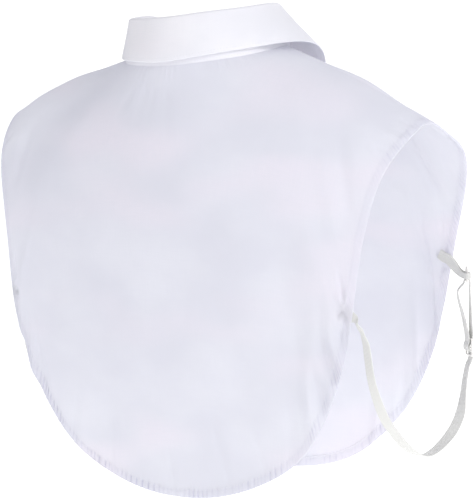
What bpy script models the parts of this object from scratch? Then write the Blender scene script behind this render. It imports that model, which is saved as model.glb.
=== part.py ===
# Detachable shirt collar: a half shirt of thin cotton with a stand and leaf collar, closed at the
# front by a buttoned placket and held at the sides by two adjustable elastic straps.
# It keeps the form it has when worn: hollow, open at the neck, at both armholes and at the hem.
# Blender metres, +Z up. The wearer faces -Y, the wearer's left side is +X.
# The origin is the middle of the neck opening, at the height of the neck seam.
# Every size and table below is in millimetres or degrees.

import math

import bmesh
import bpy
import numpy as np

MM = 0.001

# Cloth
PANEL_WALL = 1.2
HEM_WALL = 2.2
HEM_WIDTH = 8.0
HEM_STEP = 0.8
UNDER_STAND = 1.5  # the panels reach this far up under the stand
COLLAR_WALL = 1.8
SEAM_GAP = 0.3
SEAT_GAP = 0.45  # where a piece lies on a curved one

# Neck seam: a ring, deeper than it is wide, whose middle lies a little to the front
NECK_HALF_WIDTH = 66.0
NECK_HALF_DEPTH = 70.0
NECK_FORWARD = 6.0

# The collar sits lower on the wearer's left: degrees of lean at three heights
SEAM_LEAN = 3.5
FOLD_LEAN = 5.5
LEAF_EDGE_LEAN = 5.0

# Collar
STAND_LEAN_IN = 8.0
STAND_LAP = 12.0
FOLD_RADIUS = 1.8
LEAF_END_TURN = 177.0

# Front closing
FRONT_LAP = 12.0
LAP_HOLD = 8.0  # the under side keeps its full depth this far past the upper side's edge
LAP_EASE = 22.0  # and is back on the common surface this far past it
LAP_HEM_FROM = 0.88  # between these shares of a rib it goes deeper still, to clear the turned hem
LAP_HEM_TO = 0.94
PLACKET_WIDTH = 26.0
PLACKET_TOP = 4.0  # from the neck seam
PLACKET_BOTTOM = 1.0  # from the hem's edge
BUTTON_HEIGHTS = (-112.0, -182.0, -252.0)
BUTTON_UP_STAND = 0.5
BUTTON_RADIUS = 5.25
BUTTON_THICKNESS = 2.2
BUTTON_STEPS = 18
BUTTON_HOLE = 1.5
BUTTON_HOLE_SPACING = 2.6
BUTTON_HOLE_SIDES = 6
# The button's section round its rim: the distance in from the rim, and the height
BUTTON_RIM = [(0.8, 0.0), (0.0, 0.7), (0.0, 1.5), (0.5, 2.2), (1.4, 2.2), (2.2, 1.5)]

# Straps
STRAP_STEPS = 130
TAB_STEPS = 36
LONGEST_STEP = 6.0
SHARPEST_STEP = 16.0
FINE_STEPS = 40  # measured steps for each step that is kept
ELASTIC_WIDTH = 8.5
ELASTIC_WALL = 1.0
ELASTIC_AT_RING = 5.0  # the elastic bunches to this width where it goes round a ring's wire
ROUND_WIRE = 2.3  # from the middle of the wire to the middle of the elastic
TAB_LAYERS = 1.3  # from the middle of one layer of the tab to the other
RING_RADIUS = 5.9
RING_WIRE = 0.9
RING_CENTRE = (176.4, -108.2, -188.0)
RING_ALONG = (-0.5, -0.866, 0.0)  # the level direction that lies in the ring
SLIDER_LENGTH = 15.5
SLIDER_WIDTH = 12.5
SLIDER_WALL = 1.4
SLIDER_BAR = 1.4
SLIDER_CENTRE = (176.5, -108.2, -248.8)
SLIDER_LENGTHWAYS = (0.0, 0.0, -1.0)
SLIDER_ACROSS = (-0.77, -0.64, 0.0)
WEAVE_TOP = 0.1  # the elastic is level this far each way over the middle bar
WEAVE_CLEAR = 0.4  # and level again this far before an end bar
HANG_INWARD = {"left": 9.5, "right": 0.0}  # the left strap hangs closer to the body


def columns(names, rows):
    return dict(zip(names.split(), np.array(rows, float).T))


# Turn runs round the neck: 0 at the centre back, 90 at the shoulder seam, 180 at the centre front.
# Only the wearer's left half is listed, and the right half mirrors it.
NECK_SEAM = columns(
    "turn z",
    [
        (0, 0),
        (30, 1),
        (60, 2.4),
        (90, 4.2),
        (112, 0.4),
        (130, -14.2),
        (150, -35),
        (165, -48),
        (180, -54),
    ],
)

# The outer edge of the half shirt, where each rib of cloth from the neck ends
HEM_EDGE = columns(
    "turn x y z",
    [
        (0, 0, 68, -349),
        (10, 44, 67, -343.5),
        (20, 86, 65, -326),
        (30, 117, 63, -299),
        (40, 142, 64, -252),
        (50, 156, 63, -204),
        (60, 163, 58, -152),
        (70, 172, 49, -104),
        (78, 180, 35, -77),
        (84, 187, 14, -60),
        (90, 192, -13, -50),
        (96, 193.5, -38, -59),
        (102, 193, -62, -71),
        (108, 191, -80, -83),
        (114, 187, -92, -99),
        (121, 179, -102, -124),
        (128, 170, -107, -152),
        (136, 160, -110, -190),
        (145, 151, -110, -229),
        (153, 137, -110, -270),
        (160, 118, -110, -303),
        (167, 89, -108, -335),
        (174, 49, -106, -358),
        (180, 0, -105, -365),
    ],
)

# How each rib lies: the way it leaves the neck seam, the way it comes to the hem, and how far its
# middle swells outwards
RIB_LIE = columns(
    "turn leave_x leave_y leave_z arrive_x arrive_y arrive_z swell",
    [
        (0, 0.00, 0.45, -0.89, 0.00, -0.10, -0.99, 0),
        (20, 0.22, 0.48, -0.85, 0.10, -0.12, -0.98, 0),
        (42, 0.50, 0.48, -0.72, 0.18, -0.16, -0.97, 0),
        (60, 0.74, 0.40, -0.54, 0.30, -0.20, -0.93, 0),
        (76, 0.92, 0.18, -0.35, 0.48, -0.02, -0.88, 0),
        (90, 0.96, 0.00, -0.28, 0.84, -0.02, -0.52, 0),
        (105, 0.90, -0.28, -0.36, 0.78, -0.08, -0.62, 0),
        (120, 0.78, -0.46, -0.44, 0.52, -0.06, -0.85, 4),
        (138, 0.62, -0.60, -0.50, 0.26, 0.04, -0.96, 9),
        (160, 0.30, -0.62, -0.72, 0.12, 0.10, -0.98, 12),
        (180, 0.00, -0.56, -0.83, 0.00, 0.10, -0.99, 13),
    ],
)

# Soft folds of the panels: where each runs, how deep it is pressed in and how wide it is
FOLDS = columns(
    "turn depth width top bottom",
    [
        (16, 1.6, 5.0, 0.50, 0.90),
        (36, 2.4, 4.0, 0.45, 0.86),
        (47, -1.6, 3.5, 0.50, 0.88),
        (70, 1.4, 5.0, 0.25, 0.80),
        (124, 2.0, 5.0, 0.35, 0.85),
        (146, -2.2, 4.0, 0.45, 0.90),
        (154, 2.6, 4.0, 0.40, 0.88),
        (166, -1.6, 4.0, 0.50, 0.90),
    ],
)

# The upright stand of the collar, and the leaf that folds down over it
STAND = columns(
    "turn height",
    [(0, 35.5), (30, 35), (60, 33.1), (90, 30.8), (112, 29), (140, 28.3), (180, 29.5)],
)
LEAF = columns(
    "turn edge_shift fall flare bow",
    [
        (0, 0, 36.5, 7, 0),
        (30, 0, 35, 7, 0),
        (57, 0, 33.8, 7, 0),
        (75, 0, 33.4, 10.5, 0),
        (92, 0, 33.8, 19.5, 0),
        (108, 0, 36, 27, 0),
        (128, -1, 40, 33, 0.5),
        (145, -4, 46, 36, 1.5),
        (162, -12, 55, 40.5, 2),
        (177, -20, 61, 41, 2),
    ],
)

# The hanging part of each strap: its place between the back hem and the slider, and the line its
# width lies on there
STRAP_ROUTE = columns(
    "x y z across_x across_y across_z",
    [
        (161.2, 54.5, -204, -0.82, -0.57, 0.09),
        (162.6, 50.5, -214, -0.90, -0.43, 0.05),
        (163.0, 48.2, -227, -0.94, -0.33, 0.05),
        (163.2, 44.6, -244, -0.96, -0.26, 0.07),
        (163.6, 36.8, -262, -1.00, -0.04, -0.03),
        (164.3, 25, -281, -0.98, 0.12, -0.17),
        (165.6, 11, -296, -0.95, 0.16, -0.26),
        (166.9, -3.5, -309, -0.96, 0.09, -0.25),
        (168.7, -21, -320, -1.00, -0.05, -0.08),
        (169.8, -34, -324, -0.99, -0.09, 0.06),
        (171.0, -48, -323.5, -0.99, -0.07, 0.12),
        (172.6, -65, -319, -0.95, 0.02, 0.30),
        (173.9, -79, -312.5, -0.93, 0.16, 0.33),
        (174.4, -91.7, -302, -1.00, 0.06, 0.03),
        (174.0, -98.5, -290, -0.89, -0.43, -0.15),
        (174.2, -103.2, -276, -0.80, -0.60, -0.10),
        (175.3, -106.6, -265, -0.76, -0.65, -0.05),
    ],
)

# How much of the shift towards the body is made along that route
HANG_SHARE = columns("place share", [(0, 0.55), (0.12, 0.8), (0.3, 1), (0.6, 0.9), (0.85, 0.3), (1, 0)])

# The two stretches of elastic between the slider and the ring, and their width
STRAND_UP = columns(
    "x y z width",
    [
        (178.0, -109.4, -239, 8.5),
        (178.1, -109.3, -229, 8.5),
        (178.2, -109.2, -212, 8),
        (178.2, -109.2, -200, 6.2),
    ],
)
STRAND_DOWN = columns(
    "x y z width",
    [
        (169.6, -104.3, -202, 6.2),
        (169.9, -104.4, -208, 7.5),
        (172.2, -105.6, -219, 8.5),
        (174.2, -106.8, -231, 8.5),
    ],
)

# How far the strap's width has turned from the slider's way to the ring's at each row above
STRAND_TWIST = (0.1, 0.35, 0.7, 1.0)

# Where the strap's end comes back down over the slider: the place along it, and the share of the
# height of the elastic that already lies there
STRAP_END = columns("place share", [(-7.75, 0), (-4.5, 0.08), (-1.5, 1), (2.5, 1)])

# Where the strap and the ring's tab are sewn inside the hems
STRAP_ROOT = columns("turn down", [(50.6, 0.93), (51.2, 0.955), (51.8, 0.98)])
TAB_ROOT = columns("turn down", [(136.7, 0.895), (135.2, 0.94), (133.8, 0.98)])

# From the front hem's edge to the ring: the share of the way, how much of the drop is done, the
# tab's width and half the distance between its two layers
TAB_REACH = columns(
    "share drop width half_apart",
    [(0.30, 0.42, 8.0, 0.65), (0.56, 0.80, 6.2, 0.9), (0.80, 0.98, 5.0, 1.9)],
)


def closed_curve(table, column, odd=False):
    """Smooth function of turn through one column, mirrored about both centre lines."""
    turns, values = table["turn"], table[column]
    inner = slice(1, len(turns) - 1 if turns[-1] == 180 else len(turns))
    sign = -1 if odd else 1
    knots = np.concatenate([turns, 360 - turns[inner][::-1]])
    heights = np.concatenate([values, sign * values[inner][::-1]])
    count = len(knots)
    spans = np.diff(np.append(knots, 360.0))
    steps = np.diff(np.append(heights, heights[0])) / spans
    matrix = np.zeros((count, count))
    for k in range(count):
        matrix[k, k - 1] += spans[k - 1]
        matrix[k, k] += 2 * (spans[k - 1] + spans[k])
        matrix[k, (k + 1) % count] += spans[k]
    bends = np.linalg.solve(matrix, 6 * (steps - np.roll(steps, 1)))

    def at(turn):
        wrapped = np.mod(turn, 360)
        k = np.clip(np.searchsorted(knots, wrapped, side="right") - 1, 0, count - 1)
        after = (k + 1) % count
        span = spans[k]
        u = (wrapped - knots[k]) / span
        w = 1 - u
        line = w * heights[k] + u * heights[after]
        return line + ((w**3 - w) * bends[k] + (u**3 - u) * bends[after]) * span**2 / 6

    return at


def smooth_route(points, count):
    """Rows on one smooth curve through the given ones, closer together where it bends or twists."""
    points = np.asarray(points, float)
    stations = np.append(0, np.cumsum(np.linalg.norm(np.diff(points[:, :3], axis=0), axis=1)))
    slopes = np.gradient(points, stations, axis=0)
    at = np.linspace(0, stations[-1], FINE_STEPS * count)
    k = np.clip(np.searchsorted(stations, at, side="right") - 1, 0, len(stations) - 2)
    span = (stations[k + 1] - stations[k])[:, None]
    u = ((at - stations[k]) / span[:, 0])[:, None]
    fine = hermite(u, points[k], slopes[k] * span, points[k + 1], slopes[k + 1] * span)
    steps = np.diff(fine[:, :3], axis=0)
    effort = np.linalg.norm(steps, axis=1) / LONGEST_STEP
    for way in (unit(steps), unit(fine[1:, 3:6])):
        turning = np.linalg.norm(np.diff(way, axis=0), axis=1) / math.radians(SHARPEST_STEP)
        effort[1:] += turning
    effort = np.append(0, np.cumsum(effort))
    chosen = np.linspace(0, effort[-1], count)
    return np.stack([np.interp(chosen, effort, column) for column in fine.T], -1)


def hermite(u, start, leave, end, arrive):
    return (
        start * (2 * u**3 - 3 * u**2 + 1)
        + leave * (u**3 - 2 * u**2 + u)
        + end * (3 * u**2 - 2 * u**3)
        + arrive * (u**3 - u**2)
    )


def smooth_step(value):
    value = np.clip(value, 0, 1)
    return value * value * (3 - 2 * value)


def unit(vectors):
    return vectors / np.linalg.norm(vectors, axis=-1, keepdims=True)


def outward(turn):
    """Level direction away from the neck at a turn."""
    angle = np.radians(turn)
    return np.stack([np.sin(angle), np.cos(angle), np.zeros_like(angle)], -1)


neck_height = closed_curve(NECK_SEAM, "z")
hem_curves = [closed_curve(HEM_EDGE, "x", odd=True)] + [closed_curve(HEM_EDGE, c) for c in "yz"]
leave_curves = [closed_curve(RIB_LIE, "leave_x", odd=True)]
leave_curves += [closed_curve(RIB_LIE, c) for c in ("leave_y", "leave_z")]
arrive_curves = [closed_curve(RIB_LIE, "arrive_x", odd=True)]
arrive_curves += [closed_curve(RIB_LIE, c) for c in ("arrive_y", "arrive_z")]
swell_curve = closed_curve(RIB_LIE, "swell")
stand_height = closed_curve(STAND, "height")
leaf_shift = closed_curve(LEAF, "edge_shift")
leaf_fall = closed_curve(LEAF, "fall")
leaf_flare = closed_curve(LEAF, "flare")
leaf_bow = closed_curve(LEAF, "bow")


def neck_seam(turn):
    angle = np.radians(turn)
    x = NECK_HALF_WIDTH * np.sin(angle)
    y = NECK_HALF_DEPTH * np.cos(angle) - NECK_FORWARD
    return np.stack([x, y, neck_height(turn)], -1)


def leaned(points, angle):
    """Lower on the wearer's left and higher on the right, by an angle in degrees."""
    points = points.copy()
    points[..., 2] -= points[..., 0] * np.tan(np.radians(angle))
    return points


def fold_depth(turn, down):
    """How far the soft folds press the cloth in."""
    turn = np.mod(turn, 360)
    side = np.minimum(turn, 360 - turn)
    depth = np.zeros_like(turn + down)
    for middle, deep, width, top, bottom in zip(*FOLDS.values()):
        along = smooth_step((down - top) / 0.25) * smooth_step((bottom + 0.1 - down) / 0.2)
        depth += deep * along * np.exp(-(((side - middle) / width) ** 2))
    return depth


def shirt_cloth(turn, down):
    """Middle of the shirt's cloth: down is 0 at the neck seam and 1 at the hem's edge."""
    start = neck_seam(turn)
    end = np.stack([curve(turn) for curve in hem_curves], -1)
    length = np.linalg.norm(end - start, axis=-1, keepdims=True)
    leave = unit(np.stack([curve(turn) for curve in leave_curves], -1)) * length
    arrive = unit(np.stack([curve(turn) for curve in arrive_curves], -1)) * length
    share = down[..., None]
    points = hermite(share, start, leave, end, arrive)
    bump = 16 * swell_curve(turn) * down**2 * (1 - down) ** 2 - fold_depth(turn, down)
    points += outward(turn) * bump[..., None]
    return leaned(points, SEAM_LEAN * (1 - down) ** 2)


def cloth_normals(turn, down):
    """The way out through the cloth, the same for every piece that is laid on it."""
    around = shirt_cloth(turn + 0.4, down) - shirt_cloth(turn - 0.4, down)
    along = shirt_cloth(turn, down + 0.008) - shirt_cloth(turn, down - 0.008)
    return unit(np.cross(around, along))


def turn_step(turn, down, distance):
    """The change of turn that moves this far round the cloth."""
    ahead = shirt_cloth(turn + 0.5, down) - shirt_cloth(turn - 0.5, down)
    return distance / np.linalg.norm(ahead, axis=-1)


def turn_at_x(near_turn, down, x):
    """The turn at which the cloth near a centre line reaches x, one for each row."""
    turn = np.full_like(down, near_turn)
    for _ in range(4):
        reach = shirt_cloth(turn, down)[..., 0]
        slope = (shirt_cloth(turn + 0.5, down) - shirt_cloth(turn - 0.5, down))[..., 0]
        turn = turn + (x - reach) / slope
    return turn


def rib_length(turn):
    down = np.linspace(0, 1, 25)
    points = shirt_cloth(np.full_like(down, turn), down)
    return np.linalg.norm(np.diff(points, axis=0), axis=1).sum()


def edge_share(turn, distance):
    """The share of a rib that lies within a distance of the outer edge, measured square to it."""
    edge = np.ones(1)
    turn = np.array([turn], float)
    along = unit(shirt_cloth(turn + 0.5, edge) - shirt_cloth(turn - 0.5, edge))
    down_rib = (shirt_cloth(turn, edge) - shirt_cloth(turn, edge - 0.02)) / 0.02
    return distance / np.linalg.norm(np.cross(down_rib, along)[0])


def grid_normals(points):
    return unit(np.cross(np.gradient(points, axis=0), np.gradient(points, axis=1)))


def new_material(name, colour, roughness):
    material = bpy.data.materials.new(name)
    material.use_nodes = True
    shader = material.node_tree.nodes["Principled BSDF"]
    shader.inputs["Base Color"].default_value = (*colour, 1)
    shader.inputs["Roughness"].default_value = roughness
    shader.inputs["Metallic"].default_value = 0
    return material


def add_object(name, mesh, material, parent):
    mesh.materials.append(material)
    mesh.shade_smooth()
    mesh.set_sharp_from_angle(angle=math.radians(40))
    piece = bpy.data.objects.new(name, mesh)
    bpy.context.scene.collection.objects.link(piece)
    piece.parent = parent
    return piece


def mesh_from(name, vertices, faces):
    mesh = bpy.data.meshes.new(name)
    mesh.from_pydata([tuple(v) for v in np.asarray(vertices) * MM], [], faces)
    form = bmesh.new()
    form.from_mesh(mesh)
    bmesh.ops.recalc_face_normals(form, faces=form.faces)
    form.to_mesh(mesh)
    form.free()
    return mesh


def cloth_mesh(name, outer, inner):
    """A closed wall between two grids of points of the same size."""
    rows, cols = outer.shape[:2]
    vertices = np.concatenate([outer.reshape(-1, 3), inner.reshape(-1, 3)])
    under = rows * cols
    faces = []
    for i in range(rows - 1):
        for j in range(cols - 1):
            a, b, c, d = i * cols + j, (i + 1) * cols + j, (i + 1) * cols + j + 1, i * cols + j + 1
            faces.append((a, b, c, d))
            faces.append((under + a, under + d, under + c, under + b))
    rim = [(i, 0) for i in range(rows)] + [(rows - 1, j) for j in range(1, cols)]
    rim += [(i, cols - 1) for i in range(rows - 2, -1, -1)] + [(0, j) for j in range(cols - 2, 0, -1)]
    for (i, j), (k, m) in zip(rim, rim[1:] + rim[:1]):
        a, b = i * cols + j, k * cols + m
        faces.append((a, under + a, under + b, b))
    return mesh_from(name, vertices, faces)


def panel_rows(turn, rows):
    """Steps down a rib, with the turned hem's width marked off at its end."""
    hem_top = 1 - edge_share(turn, HEM_WIDTH)
    plain_end = 1 - edge_share(turn, HEM_WIDTH + HEM_STEP)
    plain = np.linspace(-UNDER_STAND / rib_length(turn), plain_end, rows)
    return np.append(plain, [hem_top, 1.0])


def panel_mesh(name, first_turn, last_turn, cols, rows, goes_under=False):
    """A panel between two edges, each a function that gives the turn for every row."""
    spread = np.linspace(0, 1, cols)
    middle_turns = first_turn(np.array([0.5]))[0] + spread * (
        last_turn(np.array([0.5]))[0] - first_turn(np.array([0.5]))[0]
    )
    down = np.stack([panel_rows(turn, rows) for turn in middle_turns])
    turns = np.empty_like(down)
    for j in range(down.shape[1]):
        start, end = first_turn(down[:1, j])[0], last_turn(down[-1:, j])[0]
        turns[:, j] = start + spread * (end - start)
    points = shirt_cloth(turns, down)
    normals = cloth_normals(turns, down)
    if goes_under:
        at_hem = smooth_step((down - LAP_HEM_FROM) / (LAP_HEM_TO - LAP_HEM_FROM))
        depth = PANEL_WALL + SEAT_GAP + (HEM_WALL - PANEL_WALL) * at_hem
        points = points - normals * under_lap(points[..., 0], depth)[..., None]
    in_hem = np.zeros(down.shape)
    in_hem[:, -2:] = HEM_WALL - PANEL_WALL
    outer = points + normals * PANEL_WALL / 2
    inner = points - normals * (PANEL_WALL / 2 + in_hem)[..., None]
    return cloth_mesh(name, outer, inner)


def shoulder_edge(turn, side):
    """The panel's edge at a shoulder seam, half the seam's gap to one side of it."""

    def at(down):
        return turn + side * turn_step(np.full_like(down, turn), down, SEAM_GAP / 2)

    return at


def front_edge(near_turn, x):
    def at(down):
        return turn_at_x(near_turn, down, x)

    return at


def under_lap(x, depth):
    """How far the left side passes under the right one, whose edge is at the front lap."""
    return depth * smooth_step((FRONT_LAP + LAP_EASE - x) / (LAP_EASE - LAP_HOLD))


def build_panels(material, parent):
    back = panel_mesh("back", shoulder_edge(-90, 1), shoulder_edge(90, -1), 45, 13)
    right = panel_mesh("front_right", front_edge(-180, FRONT_LAP), shoulder_edge(-90, -1), 27, 13)
    left = panel_mesh(
        "front_left",
        shoulder_edge(90, 1),
        front_edge(180, -FRONT_LAP),
        27,
        13,
        goes_under=True,
    )
    for mesh in (back, right, left):
        add_object(mesh.name, mesh, material, parent)


def placket_points(cols, rows):
    """The placket's middle surface, on the right front's cloth and just clear of it."""
    lift = PANEL_WALL + SEAM_GAP
    length = rib_length(180)
    down = np.linspace(PLACKET_TOP / length, 1 - PLACKET_BOTTOM / length, rows)
    edges = [turn_at_x(180, down, x) for x in (FRONT_LAP, FRONT_LAP - PLACKET_WIDTH)]
    turns = np.stack([edges[0] + u * (edges[1] - edges[0]) for u in np.linspace(0, 1, cols)])
    down = np.broadcast_to(down, turns.shape)
    normals = cloth_normals(turns, down)
    return shirt_cloth(turns, down) + normals * lift, normals


def build_placket(material, parent):
    points, normals = placket_points(3, 21)
    outer, inner = points + normals * PANEL_WALL / 2, points - normals * PANEL_WALL / 2
    add_object("placket", cloth_mesh("placket", outer, inner), material, parent)


def stand_points(turn, up):
    """Middle of the stand, not yet leaned: up is 0 at the neck seam and 1 at the top."""
    points = neck_seam(turn) - outward(turn) * (STAND_LEAN_IN * up)[..., None]
    points[..., 2] += stand_height(turn) * up
    return points


def seat_slope(turn):
    """How steeply the shirt falls away from the neck seam, as rise over run."""
    leave = [curve(turn) for curve in leave_curves]
    return leave[2] / np.hypot(leave[0], leave[1])


def lap_turn(lap):
    return math.degrees(math.asin(lap / NECK_HALF_WIDTH))


def build_stand(material, parent):
    """The stand's lower edge is cut to sit on the shirt, just clear of it."""
    reach = 180 + lap_turn(STAND_LAP)
    turns, up = np.meshgrid(np.linspace(-reach, reach, 65), np.linspace(0, 1, 4), indexing="ij")
    points = stand_points(turns, up)
    under = np.where(turns > 90, under_lap(points[..., 0], COLLAR_WALL + SEAT_GAP), 0)
    points = leaned(points, SEAM_LEAN + (FOLD_LEAN - SEAM_LEAN) * up)
    slope = seat_slope(turns)
    lift = (PANEL_WALL / 2 + SEAT_GAP) * np.hypot(1, slope)
    skins = []
    for side in (COLLAR_WALL / 2, -COLLAR_WALL / 2):
        skin = points + outward(turns) * (side - under)[..., None]
        skin[..., 2] += (lift + slope * (side - under)) * (1 - up)
        skins.append(skin)
    add_object("collar_stand", cloth_mesh("collar_stand", *skins), material, parent)


def leaf_points(cols, fold_rows, fall_rows):
    """Middle of the leaf: up from the stand's top edge, over the fold and down to its edge."""
    turns = np.linspace(-LEAF_END_TURN, LEAF_END_TURN, cols)
    top = stand_points(turns, np.ones_like(turns))
    up = np.array([0.0, 0.0, 1.0])
    fold_base = COLLAR_WALL / 2 + SEAM_GAP
    rows = [leaned(top + up * SEAM_GAP, FOLD_LEAN)]
    for angle in np.linspace(math.pi, 0, fold_rows):
        reach = FOLD_RADIUS * (1 + math.cos(angle))
        rise = fold_base + FOLD_RADIUS * math.sin(angle)
        rows.append(leaned(top + outward(turns) * reach + up * rise, FOLD_LEAN))
    full_drop = leaf_fall(turns) - fold_base - FOLD_RADIUS - COLLAR_WALL / 2
    for share in np.linspace(0, 1, fall_rows + 1)[1:]:
        shifted = turns + np.sign(turns) * leaf_shift(turns) * share
        row = stand_points(shifted, np.ones_like(turns))
        reach = 2 * FOLD_RADIUS + leaf_flare(turns) * share + 4 * leaf_bow(turns) * share * (1 - share)
        row += outward(shifted) * reach[:, None]
        row[:, 2] = top[:, 2] + fold_base - full_drop * share
        rows.append(leaned(row, FOLD_LEAN + (LEAF_EDGE_LEAN - FOLD_LEAN) * share))
    return np.stack(rows, 1)


def build_leaf(material, parent):
    points = leaf_points(69, 5, 6)
    half = grid_normals(points) * COLLAR_WALL / 2
    add_object("collar_leaf", cloth_mesh("collar_leaf", points + half, points - half), material, parent)


def button_mesh(name, centre, facing):
    """A turned disc with a raised rim and four sewing holes, its back flat."""
    section = [(0.0, 0.0)] + [(BUTTON_RADIUS - far, high) for far, high in BUTTON_RIM]
    section.append((0.0, BUTTON_RIM[-1][1]))
    form = bmesh.new()
    spots = [form.verts.new((r * MM, 0, h * MM)) for r, h in section]
    edges = [form.edges.new(pair) for pair in zip(spots, spots[1:])]
    bmesh.ops.spin(
        form,
        geom=spots + edges,
        cent=(0, 0, 0),
        axis=(0, 0, 1),
        angle=2 * math.pi,
        steps=BUTTON_STEPS,
    )
    bmesh.ops.remove_doubles(form, verts=form.verts, dist=MM / 100)
    bmesh.ops.recalc_face_normals(form, faces=form.faces)
    mesh = bpy.data.meshes.new(name)
    form.to_mesh(mesh)
    form.free()
    place_mesh(mesh, centre, facing, (1, 0, 0))
    return mesh


def place_mesh(mesh, centre, facing, across):
    """Turns a mesh made on the origin so that its +Z faces one way and its +X another."""
    facing = unit(np.asarray(facing, float))
    across = np.asarray(across, float)
    across = unit(across - facing * (across @ facing))
    frame = np.stack([across, np.cross(facing, across), facing])
    for vertex in mesh.vertices:
        vertex.co = tuple(np.asarray(vertex.co) @ frame + np.asarray(centre) * MM)


def cut_holes(piece, centre, facing, parent):
    """Four straight sewing holes through a button."""
    form = bmesh.new()
    half = BUTTON_HOLE_SPACING / 2
    for x in (-half, half):
        for y in (-half, half):
            made = bmesh.ops.create_cone(
                form,
                cap_ends=True,
                segments=BUTTON_HOLE_SIDES,
                radius1=BUTTON_HOLE / 2 * MM,
                radius2=BUTTON_HOLE / 2 * MM,
                depth=3 * BUTTON_THICKNESS * MM,
            )
            bmesh.ops.translate(form, verts=made["verts"], vec=(x * MM, y * MM, 0))
    mesh = bpy.data.meshes.new(piece.name + "_holes")
    form.to_mesh(mesh)
    form.free()
    place_mesh(mesh, centre, facing, (1, 0, 0))
    cutter = bpy.data.objects.new(mesh.name, mesh)
    bpy.context.scene.collection.objects.link(cutter)
    cutter.parent = parent
    cutter.hide_render = True
    cutter.display_type = "WIRE"
    holes = piece.modifiers.new("sewing holes", "BOOLEAN")
    holes.operation = "DIFFERENCE"
    holes.object = cutter


def build_buttons(material, parent):
    points, normals = placket_points(3, 121)
    middle, facing = points[1], normals[1]
    gap = PANEL_WALL / 2 + SEAT_GAP
    seats = []
    for count, height in enumerate(BUTTON_HEIGHTS, start=1):
        row = int(np.argmin(abs(middle[:, 2] - height)))
        seats.append((f"front_button_{count}", middle[row] + facing[row] * gap, facing[row]))
    turn = np.array([180.0])
    foot, top = (stand_points(turn, np.array([up]))[0] for up in (0.0, 1.0))
    front = np.cross([1.0, 0, 0], unit(top - foot))
    spot = foot + (top - foot) * BUTTON_UP_STAND + front * (COLLAR_WALL / 2 + 2 * SEAT_GAP)
    seats.append(("stand_button", spot, front))
    for name, centre, front in seats:
        piece = add_object(name, button_mesh(name, centre, front), material, parent)
        cut_holes(piece, centre, front, parent)


def ribbon_mesh(name, route, across, widths):
    """A flat elastic along a route, its width lying as near as it can to the given directions."""
    along = unit(np.gradient(route, axis=0))
    across = unit(across - along * (across * along).sum(-1, keepdims=True))
    facing = np.cross(along, across)
    half = across * widths[:, None] / 2
    middle = np.stack([route - half, route + half], 1)
    lift = facing[:, None] * ELASTIC_WALL / 2
    return cloth_mesh(name, middle + lift, middle - lift)


def inside_hem(turn, down, clear):
    """A point this far off the hem's inner face, and the way out through the cloth there."""
    turn, down = np.array([turn]), np.array([down])
    facing = cloth_normals(turn, down)[0]
    point = shirt_cloth(turn, down)[0]
    return point - facing * (HEM_WALL - PANEL_WALL / 2 + clear), facing


def slider_frame():
    """The slider's length, width and thickness directions."""
    length, width = np.array(SLIDER_LENGTHWAYS), np.array(SLIDER_ACROSS)
    return length, unit(width), unit(np.cross(length, width))


def slider_weave(place):
    """Height of the elastic's middle over the slider's: behind an end bar, over the middle bar
    and behind the other end bar."""
    side = SLIDER_WALL / 2 + SEAM_GAP + ELASTIC_WALL / 2
    far = SLIDER_LENGTH / 2 - SLIDER_BAR - WEAVE_CLEAR
    return side * (1 - 2 * smooth_step((abs(place) - WEAVE_TOP) / (far - WEAVE_TOP)))


def strap_path(inward):
    """The elastic from the back hem down and forward to the slider, up through the ring and back.
    The middle of its hang lies nearer the body by the distance inward."""
    rows = []
    spots = [inside_hem(turn, down, SEAT_GAP + ELASTIC_WALL) for turn, down in zip(*STRAP_ROOT.values())]
    for k, (point, facing) in enumerate(spots):
        ahead = spots[min(k + 1, 2)][0] - spots[max(k - 1, 0)][0]
        rows.append((*point, *np.cross(facing, ahead), ELASTIC_WIDTH))
    hang = np.stack(list(STRAP_ROUTE.values()), -1)
    hang[:, 0] -= inward * np.interp(np.linspace(0, 1, len(hang)), *HANG_SHARE.values())
    rows += [(*row, ELASTIC_WIDTH) for row in hang]
    length, width, thick = slider_frame()
    centre = np.array(SLIDER_CENTRE)
    for place in np.linspace(SLIDER_LENGTH / 2, -SLIDER_LENGTH / 2, 15):
        point = centre + length * place + thick * slider_weave(place)
        rows.append((*point, *width, ELASTIC_WIDTH))
    ring_along = unit(np.array(RING_ALONG))
    turning = [unit(width + (ring_along - width) * share) for share in STRAND_TWIST]
    rows += [(x, y, z, *a, wide) for a, (x, y, z, wide) in zip(turning, zip(*STRAND_UP.values()))]
    wire = np.array(RING_CENTRE) - np.array([0, 0, RING_RADIUS])
    through = np.cross(ring_along, [0, 0, 1])
    for angle in np.linspace(math.pi, 0, 9):
        point = wire + through * ROUND_WIRE * math.cos(angle) + [0, 0, ROUND_WIRE * math.sin(angle)]
        rows.append((*point, *ring_along, ELASTIC_AT_RING))
    turning = turning[::-1]
    rows += [(x, y, z, *a, wide) for a, (x, y, z, wide) in zip(turning, zip(*STRAND_DOWN.values()))]
    side = SLIDER_WALL / 2 + SEAM_GAP + ELASTIC_WALL / 2
    over = SEAM_GAP + ELASTIC_WALL
    for place, share in zip(*STRAP_END.values()):
        point = centre + length * place + thick * (side + over * share)
        rows.append((*point, *width, ELASTIC_WIDTH))
    return np.array(rows)


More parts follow.
